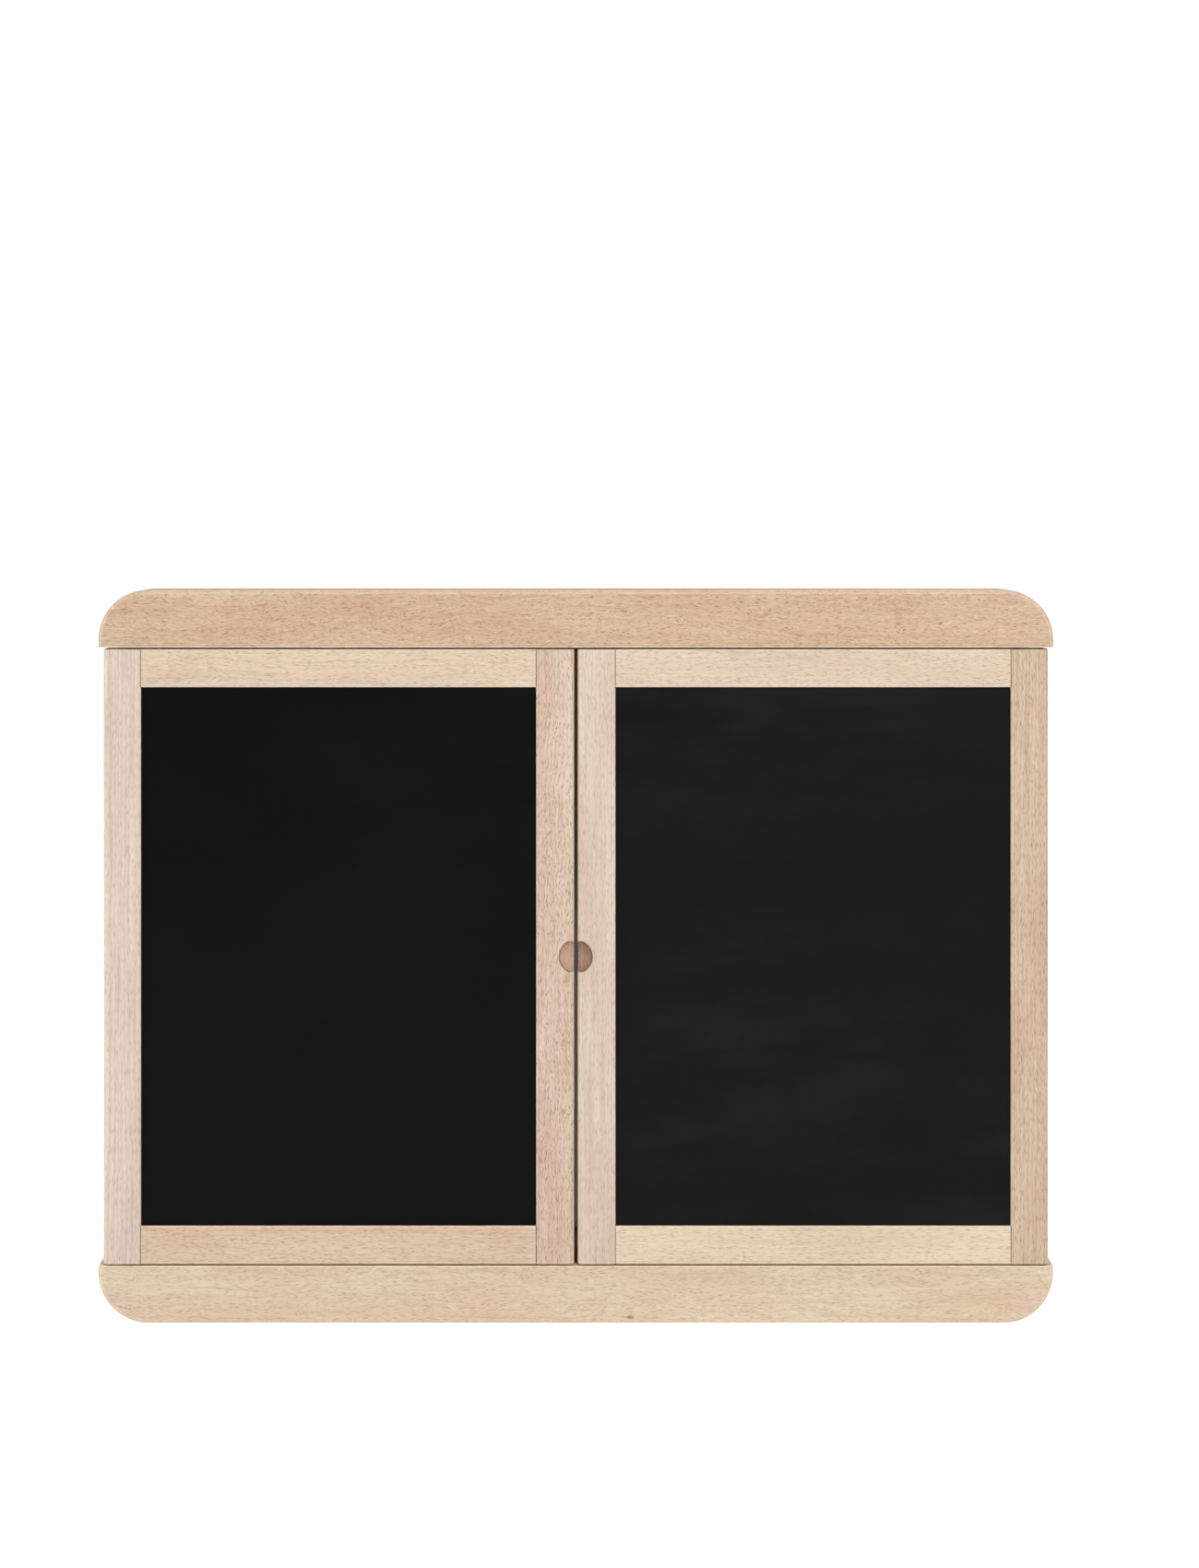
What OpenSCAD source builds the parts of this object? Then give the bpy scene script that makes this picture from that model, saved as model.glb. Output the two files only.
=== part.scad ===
// Children's two-door drawing board: a beech frame with a fixed white magnetic board in the
// middle and two doors on pivot pins, each with a chalkboard outside and a whiteboard inside.
// Millimetres, +Z up, +X to the right, the doors face -Y. The origin is the middle of the
// board's footprint, on the surface that the bottom rail stands on.

/* [Board] */
// Width of the board, from end to end of its rails
board_w = 580; // [440:5:760]
// Height of the opening between the rails
opening_h = 375; // [280:5:520]
// Thickness of a sheet of white lacquered steel
steel_t = 0.5; // [0.4:0.1:1]
// Slack left at the edges and ends of a fitted piece
fit_slack = 0.2; // [0.1:0.05:0.4]

/* [Rails] */
// Height of the top and bottom rails
rail_h = 35; // [29:1:50]
// Radius of the rails' outer corners
rail_corner_r = 30; // [10:1:40]
// Rounding along the rails' outer edges, front and back
rail_round = 3; // [1:0.5:5]
// How far the back of the fixed frame lies inside the back of the rails
rear_recess = 3; // [1:0.5:6]

/* [Doors] */
// Thickness of the doors
door_t = 16; // [13:0.5:22]
// Width of the doors' stiles and rails
member_w = 23; // [19:0.5:32]
// How far the doors' front lies behind the rails' front
door_inset = 0.5; // [0:0.25:2]
// How far the rails reach past the doors at each end
rail_overhang = 3; // [2:0.5:6]
// Gap between the two closed doors
meeting_gap = 2; // [1.5:0.25:4]
// Gap above and below each door
end_gap = 1; // [1:0.1:2]
// Rounding of the doors' upright edges
door_round = 3; // [1:0.5:4]

/* [Door panels] */
// How far a panel's faces lie inside the door's faces
panel_recess = 1.5; // [0.5:0.25:2.5]
// Thickness of the chalkboard sheet
chalk_t = 2.5; // [2:0.25:3]
// Thickness of the tongue round the panel's core
tongue_t = 4.5; // [3:0.25:5.5]
// Depth of the grooves that hold a panel
groove_d = 6; // [4:0.5:7]

/* [Finger pull] */
// Radius of the dished finger pull that the two doors share
pull_r = 10; // [7:0.5:13]
// Depth of the finger pull at its middle
pull_depth = 6; // [4:0.5:6.5]

/* [Pivots] */
// Distance from a door's outer edge to its pivot
pivot_inset = 8; // [7:0.5:10]
// Diameter of the pivot pins
pin_d = 5; // [4:0.5:6]
// Length of a pivot pin inside its rail
pin_in_rail = 15; // [10:1:18]
// Length of a pivot pin inside the door
pin_in_door = 12; // [8:1:16]
// Outside diameter of the bush that turns on the pin
bush_d = 8; // [7.5:0.5:9]
// Gap all round between pin and bush
running_fit = 0.06; // [0.03:0.01:0.09]
// Diameter of the washers between door and rail
washer_d = 12; // [10:0.5:13]
// Thickness of the washers
washer_t = 0.8; // [0.5:0.1:0.8]
// Room left for a door's outer edge as it swings past the fixed frame
swing_clearance = 1.5; // [1:0.25:4]

/* [Fixed frame] */
// Width of the fixed frame's stiles
back_stile_w = 23; // [19:0.5:35]
// Thickness of the fixed frame's stiles
back_stile_t = 15; // [13:0.5:20]
// How far the centre whiteboard lies behind the front of the fixed stiles
centre_recess = 4; // [2:0.5:5]
// Thickness of the centre board's core
centre_core_t = 5; // [4:0.5:6]

/* [Dowels and screws] */
// Diameter of the doors' dowels
door_dowel_d = 5; // [4:0.5:5]
// Wood left between a door dowel and the pivot bush
dowel_wall = 1.5; // [1:0.25:2]
// Diameter of the fixed frame's dowels
frame_dowel_d = 6; // [5:0.5:7]
// Length of the fixed frame's dowels
frame_dowel_l = 30; // [20:2:36]
// Diameter of a wood screw's shank
screw_d = 3; // [2.5:0.5:3.5]
// Diameter of a wood screw's countersunk head
screw_head_d = 5.6; // [5:0.2:6]
// Length of a wood screw in solid wood
screw_bite = 11; // [8:1:14]

/* [Stops and catches] */
// Width of a stop block
stop_w = 60; // [54:2:100]
// Height of a stop block
stop_h = 16; // [15:1:24]
// Gap between a closed door and the stop blocks
stop_gap = 0.3; // [0.2:0.05:0.5]
// Distance from the middle to a catch magnet
catch_x = 14; // [12:0.5:16]
// Diameter of a catch magnet
magnet_d = 8; // [5:0.5:9]
// Thickness of a catch magnet
magnet_t = 3; // [2:0.5:4]
// Diameter of a strike plate
strike_d = 12; // [8:0.5:12]
// Thickness of a strike plate
strike_t = 1; // [0.8:0.1:1.5]

/* [Wall fittings] */
// Distance from the middle to a keyhole hanger
hanger_x = 200; // [120:5:200]
// Length of a hanger plate
hanger_l = 46; // [42:1:60]
// Height of a hanger plate
hanger_h = 20; // [18:0.5:22]
// Thickness of a hanger plate
hanger_t = 1.5; // [1:0.25:2.5]
// Diameter of the keyhole's round entry
keyhole_d = 9; // [8:0.25:10]
// Width of the keyhole's slot
keyhole_slot = 5; // [4.5:0.25:5.5]
// Distance from the middle of the round entry to the end of the slot's straight part
keyhole_rise = 8; // [7:0.5:9]
// Depth of the pocket behind the keyhole
pocket_d = 9; // [6:0.5:12]
// Diameter of a wall bumper
bumper_d = 12; // [8:1:16]
// Thickness of a wall bumper
bumper_t = 2; // [1:0.5:4]
// Distance from a rail's end to a bumper's middle
bumper_inset = 45; // [42:1:60]

/* [Hidden] */
$fn = 64;

BEECH = "#DFC6A8";
BEECH_WARM = "#D3B28E";
CHALK_BLACK = "#1B1D1D";
LACQUER_WHITE = "#F2F2EE";
FIBREBOARD = "#B08F68";
STEEL = "#B9BCBF";
NYLON = "#EDEAE0";
RUBBER = "#4A4B4C";

// A cut runs this far past the face that it opens.
past = 1;
// The least straight height left on a rail's end below its corner.
rail_end_min = 3;
// The gap that keeps a dowel's end off the bottom of its hole.
dowel_relief = 0.5;
// The gap that lets a panel move in its grooves as the wood shrinks and swells.
panel_relief = 0.5;

// The outer back corner of a door swings on this radius about the pivot.
swing_r = norm([pivot_inset - door_round, door_t / 2 - door_round]) + door_round;

// The layers from front to back.
frame_gap = swing_r - door_t / 2 + swing_clearance;
rail_d = door_inset + door_t + frame_gap + back_stile_t + rear_recess;
front_y = -(rail_d + bumper_t) / 2;
rail_back_y = front_y + rail_d;
rail_mid_y = front_y + rail_d / 2;
door_front_y = front_y + door_inset;
door_mid_y = door_front_y + door_t / 2;
door_back_y = door_front_y + door_t;
frame_front_y = door_back_y + frame_gap;
frame_mid_y = frame_front_y + back_stile_t / 2;
centre_face_y = frame_front_y + centre_recess;
centre_core_y = centre_face_y + steel_t;

// The heights.
opening_z = rail_h;
opening_top_z = rail_h + opening_h;
door_z = opening_z + end_gap;
door_h = opening_h - 2 * end_gap;
mid_z = opening_z + opening_h / 2;
catch_drop = stop_h - magnet_d / 2 - 3.5;

// The widths, given for the left door, whose outer edge has the lower x.
door_w = board_w / 2 - rail_overhang - meeting_gap / 2;
door_left_x = -board_w / 2 + rail_overhang;
door_right_x = door_left_x + door_w;
panel_left_x = door_left_x + member_w;
panel_w = door_w - 2 * member_w;
panel_z = door_z + member_w;
panel_h = door_h - 2 * member_w;
pivot_x = door_left_x + pivot_inset;
centre_w = board_w - 2 * rail_overhang - 2 * back_stile_w;

corner_r = min(rail_corner_r, rail_h - rail_end_min);
core_t = door_t - 2 * panel_recess - chalk_t - steel_t;
bush_l = pin_in_door + 2;
door_dowel_l = 2 * (member_w - pivot_inset - bush_d / 2 - dowel_wall);
stop_d = centre_face_y - fit_slack - (door_back_y + stop_gap);
stop_front_y = door_back_y + stop_gap;
stop_screw_x = catch_x + (magnet_d + screw_head_d) / 2 + 2.5;
screw_head_h = (screw_head_d - screw_d) / 2;
hanger_z = opening_top_z + rail_h / 2;
hanger_screw_x = hanger_l / 2 - 6;
keyhole_low = -keyhole_rise / 2;
keyhole_high = keyhole_rise / 2;

// Two dowels share the wood between a groove and the member's outer edge.
function dowel_places(width) =
    let (solid = width - groove_d)
    [groove_d + solid / 4, groove_d + solid * 3 / 4];

// A bar's section: y centred, x from 0 to reach, rounded front and back at its far edge.
module rounded_section(reach, depth, round) {
    translate([0, -depth / 2]) square([reach - round, depth]);
    translate([0, -depth / 2 + round]) square([reach, depth - 2 * round]);
    for (side = [-1, 1])
        translate([reach - round, side * (depth / 2 - round)]) circle(r = round);
}

// A rail from z = 0, its straight inner edge, up to its rounded outer edge.
module rail_blank() {
    end_h = rail_h - corner_r;
    translate([0, rail_mid_y, 0]) {
        rotate([0, -90, 0])
            linear_extrude(board_w - 2 * corner_r, center = true)
                rounded_section(rail_h, rail_d, rail_round);
        for (side = [0, 1])
            mirror([side, 0, 0]) translate([board_w / 2 - corner_r, 0, 0]) {
                translate([0, 0, end_h]) rotate([90, 0, 0])
                    rotate_extrude(angle = 90)
                        rounded_section(corner_r, rail_d, rail_round);
                linear_extrude(end_h) rounded_section(corner_r, rail_d, rail_round);
            }
    }
}

// What both rails lose at their inner edge: pin holes, dowel holes, panel groove, screw pilots.
module rail_joinery() {
    for (side = [-1, 1]) {
        translate([side * pivot_x, door_mid_y, -past])
            cylinder(d = pin_d, h = pin_in_rail + past);
        for (place = dowel_places(back_stile_w))
            translate([side * (centre_w / 2 + place), frame_mid_y, -past])
                cylinder(d = frame_dowel_d, h = frame_dowel_l / 2 + dowel_relief + past);
        translate([side * stop_screw_x, stop_front_y + stop_d / 2, -past])
            cylinder(d = screw_d, h = screw_bite + past);
    }
    translate([-centre_w / 2 - groove_d, centre_face_y, -past])
        cube([centre_w + 2 * groove_d, steel_t + centre_core_t, groove_d + past]);
}

// The flat outline of a hanger plate, with its middle at the origin.
module hanger_outline() {
    corner = 4;
    square([hanger_l, hanger_h - 2 * corner], center = true);
    square([hanger_l - 2 * corner, hanger_h], center = true);
    for (x = [-1, 1], z = [-1, 1])
        translate([x * (hanger_l / 2 - corner), z * (hanger_h / 2 - corner)])
            circle(r = corner);
}

// A keyhole: a round entry of one width below a slot of another.
module keyhole_outline(entry_d, slot_w) {
    translate([0, keyhole_low]) circle(d = entry_d);
    translate([0, keyhole_high]) circle(d = slot_w);
    translate([-slot_w / 2, keyhole_low]) square([slot_w, keyhole_rise]);
}

// Stands a flat outline on the rails' back face and gives it a depth towards the front.
module from_back(x, depth, beyond = 0) {
    translate([x, rail_back_y + beyond, hanger_z]) rotate([90, 0, 0])
        linear_extrude(depth + beyond) children();
}

module top_rail() {
    color(BEECH_WARM) difference() {
        translate([0, 0, opening_top_z]) {
            difference() {
                rail_blank();
                rail_joinery();
            }
        }
        for (side = [-1, 1]) {
            from_back(side * hanger_x, hanger_t, past) hanger_outline();
            from_back(side * hanger_x, hanger_t + pocket_d, past)
                keyhole_outline(keyhole_d + 3, keyhole_d + 3);
            for (end = [-1, 1])
                from_back(side * hanger_x + end * hanger_screw_x, hanger_t + screw_bite)
                    circle(d = screw_d);
        }
    }
}

module bottom_rail() {
    color(BEECH) translate([0, 0, opening_z]) mirror([0, 0, 1]) difference() {
        rail_blank();
        rail_joinery();
    }
}

// A fixed stile at the left end, or its mirror image at the right end.
module back_stile(side) {
    color(BEECH) mirror([side == "right" ? 1 : 0, 0, 0])
        translate([door_left_x, 0, opening_z]) difference() {
            translate([0, frame_front_y, 0]) cube([back_stile_w, back_stile_t, opening_h]);
            translate([back_stile_w - groove_d, centre_face_y, -past])
                cube([groove_d + past, steel_t + centre_core_t, opening_h + 2 * past]);
            for (place = dowel_places(back_stile_w), top = [0, 1])
                translate([back_stile_w - place, frame_mid_y,
                           top * opening_h + (top ? -1 : 0) * (frame_dowel_l / 2 + dowel_relief)
                           - (top ? 0 : past)])
                    cylinder(d = frame_dowel_d, h = frame_dowel_l / 2 + dowel_relief + past);
        }
}

// The centre board reaches into the grooves of the fixed stiles and the rails.
module centre_layer(thickness, y) {
    reach = groove_d - panel_relief;
    translate([-centre_w / 2 - reach, y, opening_z - reach])
        cube([centre_w + 2 * reach, thickness, opening_h + 2 * reach]);
}

module centre_whiteboard() {
    color(LACQUER_WHITE) centre_layer(steel_t, centre_face_y);
}

module centre_board_core() {
    color(FIBREBOARD) centre_layer(centre_core_t, centre_core_y);
}

module frame_dowels() {
    color(BEECH) for (side = [-1, 1], place = dowel_places(back_stile_w), z = [opening_z, opening_top_z])
        translate([side * (centre_w / 2 + place), frame_mid_y, z])
            cylinder(d = frame_dowel_d, h = frame_dowel_l, center = true);
}

// Draws its children at the four pivots, standing on the rail's inner face and pointing inwards.
module at_pivots() {
    for (side = [-1, 1], top = [0, 1])
        translate([side * pivot_x, door_mid_y, top ? opening_top_z : opening_z])
            mirror([0, 0, top]) children();
}

module pivot_pins() {
    color(STEEL) at_pivots()
        translate([0, 0, -pin_in_rail]) cylinder(d = pin_d, h = pin_in_rail + end_gap + pin_in_door);
}

module pivot_washers() {
    color(NYLON) at_pivots() difference() {
        cylinder(d = washer_d, h = washer_t);
        translate([0, 0, -past]) cylinder(d = pin_d, h = washer_t + 2 * past);
    }
}

// A countersunk wood screw whose head is flush with z = 0 and whose shank points up.
module wood_screw(length) {
    recess_w = 0.7;
    recess_l = screw_head_d * 0.55;
    recess_h = screw_head_h * 0.7;
    difference() {
        union() {
            cylinder(d1 = screw_head_d, d2 = screw_d, h = screw_head_h);
            translate([0, 0, screw_head_h]) cylinder(d = screw_d, h = length - screw_head_h);
        }
        for (turn = [0, 90])
            rotate([0, 0, turn]) translate([-recess_l / 2, -recess_w / 2, -past])
                cube([recess_l, recess_w, recess_h + past]);
    }
}

// The hole that a wood screw fills, open past its head.
module screw_hole(length) {
    translate([0, 0, -past]) cylinder(d = screw_d, h = length + 2 * past);
    cylinder(d1 = screw_head_d, d2 = screw_d, h = screw_head_h);
}

// A stop block hanging from z = 0, with pockets for its two magnets.
module stop_block() {
    translate([0, stop_front_y, -stop_h]) difference() {
        translate([-stop_w / 2, 0, 0]) cube([stop_w, stop_d, stop_h]);
        for (side = [-1, 1]) {
            translate([side * catch_x, -past, stop_h - catch_drop]) rotate([-90, 0, 0])
                cylinder(d = magnet_d, h = magnet_t + past);
            translate([side * stop_screw_x, stop_d / 2, 0]) screw_hole(stop_h);
        }
    }
}

module top_stop_block() {
    color(BEECH) translate([0, 0, opening_top_z]) stop_block();
}

module bottom_stop_block() {
    color(BEECH) translate([0, 0, opening_z]) mirror([0, 0, 1]) stop_block();
}

module stop_block_screws() {
    color(STEEL) for (side = [-1, 1], top = [0, 1])
        translate([side * stop_screw_x, stop_front_y + stop_d / 2, top ? opening_top_z : opening_z])
            mirror([0, 0, 1 - top]) translate([0, 0, -stop_h])
                wood_screw(stop_h + screw_bite);
}

module catch_magnets() {
    color(STEEL) for (side = [-1, 1], z = [opening_top_z - catch_drop, opening_z + catch_drop])
        translate([side * catch_x, stop_front_y, z]) rotate([-90, 0, 0])
            cylinder(d = magnet_d, h = magnet_t);
}

module wall_hanger(x) {
    color(STEEL) difference() {
        from_back(x, hanger_t) difference() {
            hanger_outline();
            keyhole_outline(keyhole_d, keyhole_slot);
        }
        for (end = [-1, 1])
            translate([x + end * hanger_screw_x, rail_back_y, hanger_z]) rotate([90, 0, 0])
                screw_hole(hanger_t);
    }
}

module hanger_screws() {
    color(STEEL) for (side = [-1, 1], end = [-1, 1])
        translate([side * hanger_x + end * hanger_screw_x, rail_back_y, hanger_z])
            rotate([90, 0, 0]) wood_screw(hanger_t + screw_bite);
}

module wall_bumpers() {
    color(RUBBER) for (side = [-1, 1], z = [rail_h / 2, hanger_z])
        translate([side * (board_w / 2 - bumper_inset), rail_back_y, z]) rotate([-90, 0, 0])
            cylinder(d = bumper_d, h = bumper_t);
}

// A door stile with its grooved edge at x = 0 and its rounded edge at x = member_w.
module stile_blank() {
    difference() {
        linear_extrude(door_h) rounded_section(member_w, door_t, door_round);
        translate([-past, -tongue_t / 2, member_w - groove_d])
            cube([groove_d + past, tongue_t, panel_h + 2 * groove_d]);
        for (place = dowel_places(member_w), z = [member_w - place, door_h - member_w + place])
            translate([-past, 0, z]) rotate([0, 90, 0])
                cylinder(d = door_dowel_d, h = door_dowel_l / 2 + dowel_relief + past);
    }
}

module outer_stile() {
    color(BEECH) translate([panel_left_x, door_mid_y, door_z]) mirror([1, 0, 0]) difference() {
        stile_blank();
        for (top = [0, 1])
            translate([member_w - pivot_inset, 0, top * door_h]) mirror([0, 0, top])
                translate([0, 0, -past]) cylinder(d = bush_d, h = bush_l + past);
    }
}

module inner_stile() {
    dish_r = (pow(pull_r, 2) + pow(pull_depth, 2)) / (2 * pull_depth);
    color(BEECH) difference() {
        translate([panel_left_x + panel_w, door_mid_y, door_z]) stile_blank();
        translate([0, door_front_y + pull_depth - dish_r, mid_z]) sphere(r = dish_r);
        for (z = [opening_top_z - catch_drop, opening_z + catch_drop])
            translate([-catch_x, door_back_y - strike_t, z]) rotate([-90, 0, 0])
                cylinder(d = strike_d, h = strike_t + past);
    }
}

// A door rail lying between the stiles, with its groove facing up.
module door_rail() {
    translate([panel_left_x, door_mid_y, 0]) difference() {
        translate([0, -door_t / 2, 0]) cube([panel_w, door_t, member_w]);
        translate([-past, -tongue_t / 2, member_w - groove_d])
            cube([panel_w + 2 * past, tongue_t, groove_d + past]);
        for (place = dowel_places(member_w), x = [-past, panel_w - door_dowel_l / 2 - dowel_relief])
            translate([x, 0, member_w - place]) rotate([0, 90, 0])
                cylinder(d = door_dowel_d, h = door_dowel_l / 2 + dowel_relief + past);
    }
}

module door_bottom_rail() {
    color(BEECH) translate([0, 0, door_z]) door_rail();
}

module door_top_rail() {
    color(BEECH) translate([0, 0, door_z + door_h]) mirror([0, 0, 1]) door_rail();
}

// A sheet that fills the door frame's opening, from y backwards.
module door_sheet(y, thickness) {
    translate([panel_left_x + fit_slack, y, panel_z + fit_slack])
        cube([panel_w - 2 * fit_slack, thickness, panel_h - 2 * fit_slack]);
}

module panel_core() {
    reach = groove_d - panel_relief;
    color(FIBREBOARD) {
        door_sheet(door_front_y + panel_recess + chalk_t, core_t);
        translate([panel_left_x - reach, door_mid_y - tongue_t / 2, panel_z - reach])
            cube([panel_w + 2 * reach, tongue_t, panel_h + 2 * reach]);
    }
}

module chalkboard() {
    color(CHALK_BLACK) door_sheet(door_front_y + panel_recess, chalk_t);
}

module whiteboard() {
    color(LACQUER_WHITE) door_sheet(door_back_y - panel_recess - steel_t, steel_t);
}

module door_dowels() {
    color(BEECH) for (x = [panel_left_x, panel_left_x + panel_w], place = dowel_places(member_w))
        for (z = [panel_z - place, panel_z + panel_h + place])
            translate([x, door_mid_y, z]) rotate([0, 90, 0])
                cylinder(d = door_dowel_d, h = door_dowel_l, center = true);
}

module pivot_bushes() {
    color(NYLON) for (top = [0, 1])
        translate([pivot_x, door_mid_y, door_z + top * door_h]) mirror([0, 0, top]) difference() {
            cylinder(d = bush_d, h = bush_l);
            translate([0, 0, -past])
                cylinder(d = pin_d + 2 * running_fit, h = bush_l + 2 * past);
        }
}

module strike_plates() {
    color(STEEL) for (z = [opening_top_z - catch_drop, opening_z + catch_drop])
        translate([-catch_x, door_back_y - strike_t, z]) rotate([-90, 0, 0])
            cylinder(d = strike_d, h = strike_t);
}

top_rail();
bottom_rail();
back_stile("left");  // back_stile_left
back_stile("right");  // back_stile_right
centre_whiteboard();
centre_board_core();
frame_dowels();
pivot_pins();
pivot_washers();
top_stop_block();
bottom_stop_block();
stop_block_screws();
catch_magnets();
wall_hanger(-hanger_x);  // wall_hanger_left
wall_hanger(hanger_x);  // wall_hanger_right
hanger_screws();
wall_bumpers();

// The right door is the left door's mirror image.
for (side = ["left", "right"])
    mirror([side == "right" ? 1 : 0, 0, 0]) {
        outer_stile();
        inner_stile();
        door_top_rail();
        door_bottom_rail();
        panel_core();
        chalkboard();
        whiteboard();
        door_dowels();
        pivot_bushes();
        strike_plates();
    }
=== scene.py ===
# %% [markdown]
# # A two-door drawing board in beech
# This lesson builds the looks of a children's drawing board: two thick beech rails, a fixed white
# magnetic board between them, and two framed chalkboard doors that turn on pins in the rails.
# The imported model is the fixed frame. It says where every piece sits, so no piece is placed by eye.

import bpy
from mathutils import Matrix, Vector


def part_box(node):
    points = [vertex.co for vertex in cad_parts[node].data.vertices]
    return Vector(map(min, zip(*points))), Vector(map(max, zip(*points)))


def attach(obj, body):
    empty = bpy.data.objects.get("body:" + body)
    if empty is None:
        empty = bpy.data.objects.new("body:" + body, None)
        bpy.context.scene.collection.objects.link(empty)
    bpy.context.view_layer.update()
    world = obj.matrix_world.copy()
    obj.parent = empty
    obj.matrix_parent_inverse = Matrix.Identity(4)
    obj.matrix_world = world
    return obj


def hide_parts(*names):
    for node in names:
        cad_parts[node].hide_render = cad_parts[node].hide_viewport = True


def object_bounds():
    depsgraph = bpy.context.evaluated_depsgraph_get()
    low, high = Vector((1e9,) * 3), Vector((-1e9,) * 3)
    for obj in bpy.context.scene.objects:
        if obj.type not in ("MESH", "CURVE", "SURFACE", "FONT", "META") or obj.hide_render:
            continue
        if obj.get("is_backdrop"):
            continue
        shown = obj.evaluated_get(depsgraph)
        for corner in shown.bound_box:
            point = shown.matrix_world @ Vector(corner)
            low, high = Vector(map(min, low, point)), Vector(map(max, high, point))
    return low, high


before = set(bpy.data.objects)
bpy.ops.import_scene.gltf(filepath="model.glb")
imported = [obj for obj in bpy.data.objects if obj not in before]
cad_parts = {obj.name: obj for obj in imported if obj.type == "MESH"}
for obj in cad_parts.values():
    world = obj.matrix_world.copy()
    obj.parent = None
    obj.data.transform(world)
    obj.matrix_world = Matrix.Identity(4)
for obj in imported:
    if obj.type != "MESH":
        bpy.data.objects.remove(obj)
cad_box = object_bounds()

# %% [markdown]
# ## Measuring the frame
# A node such as the dowels holds several loose solids in one mesh. `solids_of` finds each solid's
# lowest and highest corner, so that every dowel, pin and screw below is set out from the frame.

# %% Measuring helpers
import math

import bmesh
import bpy
from mathutils import Euler, Vector

MM = 0.001
SAME_POINT = 1e-6  # two corners nearer than this are one corner


def merged_copy(node):
    """A bmesh of a frame node with its loose triangles joined and flat faces made whole."""
    bm = bmesh.new()
    bm.from_mesh(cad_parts[node].data)
    bmesh.ops.remove_doubles(bm, verts=bm.verts, dist=SAME_POINT)
    flat = math.radians(0.3)
    bmesh.ops.dissolve_limit(bm, angle_limit=flat, verts=bm.verts, edges=bm.edges)
    return bm


def solids_of(node):
    """The (lowest corner, highest corner) of each separate solid of a node."""
    bm = merged_copy(node)
    left, boxes = set(bm.verts), []
    while left:
        front = [left.pop()]
        solid = list(front)
        while front:
            for edge in front.pop().link_edges:
                for v in edge.verts:
                    if v in left:
                        left.remove(v)
                        front.append(v)
                        solid.append(v)
        axes = list(zip(*(v.co for v in solid)))
        boxes.append((Vector(map(min, axes)), Vector(map(max, axes))))
    bm.free()
    return sorted(boxes, key=lambda b: tuple(round(c, 5) for c in b[0]))


rail_low, rail_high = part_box("top_rail")
foot_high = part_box("bottom_rail")[1]
door_low, door_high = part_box("left_outer_stile")
middle_z = (door_low.z + door_high.z) / 2
print("rails", [round(c / MM, 2) for c in rail_high - rail_low], "mm")
print("dowels in the fixed frame:", len(solids_of("frame_dowels")))

# %% [markdown]
# ## The camera
# The board is seen from the front by a level camera a little higher than its top edge, with a
# portrait lens. The lens is shifted down rather than tilted, which keeps every upright edge
# parallel, as a product picture does.

# %% Camera
LENS_MM = 55.2
eye = Vector((0.0144, -1.478, 0.489))
lens_drop = -0.17  # of the picture's long side

lens = bpy.data.cameras.new("studio_camera")
lens.lens, lens.sensor_width = LENS_MM, 36.0
lens.shift_y = lens_drop
lens.clip_start, lens.clip_end = 0.01, 100
camera = bpy.data.objects.new("studio_camera", lens)
camera.location = eye
camera.rotation_euler = (math.radians(90), 0, 0)
scene = bpy.context.scene
scene.collection.objects.link(camera)
scene.camera = camera
scene.view_settings.view_transform = "Standard"
scene.view_settings.look = "None"
print("camera", [round(c, 3) for c in eye], "lens", LENS_MM, "mm")

# %% [markdown]
# ## Wiring nodes
# The room and every finish below are small webs of nodes. `add` makes one node, sets it up, and
# joins its inputs to values or to other nodes, so that a web reads from top to bottom like a
# recipe.

# %% Node helpers
def add(tree, kind, ins=None, **settings):
    """Adds a node. Each input takes a value, a socket, or a node's first output."""
    node = tree.nodes.new(kind)
    for key, value in settings.items():
        setattr(node, key, value)
    for key, value in (ins or {}).items():
        if isinstance(value, bpy.types.Node):
            value = value.outputs[0]
        if isinstance(value, bpy.types.NodeSocket):
            tree.links.new(value, node.inputs[key])
        else:
            node.inputs[key].default_value = value
    return node


def math_node(tree, operation, *values):
    """One sum on numbers; a node among the values stands for its first output."""
    return add(tree, "ShaderNodeMath", dict(enumerate(values)), operation=operation)


def vector_node(tree, operation, *values):
    """The same for vectors."""
    return add(tree, "ShaderNodeVectorMath", dict(enumerate(values)), operation=operation)


def remap(tree, value, low, high, to_low=0.0, to_high=1.0):
    """A smooth step from one range to another."""
    ins = {"Value": value, "From Min": low, "From Max": high, "To Min": to_low, "To Max": to_high}
    return add(tree, "ShaderNodeMapRange", ins, interpolation_type="SMOOTHSTEP")


def blend(tree, amount, one, other, mode="MIX"):
    """Mixes two colours and gives the result's socket."""
    node = add(tree, "ShaderNodeMix", data_type="RGBA", blend_type=mode)
    for index, value in ((0, amount), (6, one), (7, other)):
        if isinstance(value, bpy.types.Node):
            value = value.outputs[0]
        if isinstance(value, bpy.types.NodeSocket):
            tree.links.new(value, node.inputs[index])
        else:
            node.inputs[index].default_value = value
    return node.outputs[2]


def noise(tree, vector, scale, detail=2.0, roughness=0.5):
    """Cloudy noise at a vector. It needs no seed, because the same place gives the same value."""
    ins = {"Vector": vector, "Scale": scale, "Detail": detail, "Roughness": roughness}
    return add(tree, "ShaderNodeTexNoise", ins)


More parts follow.
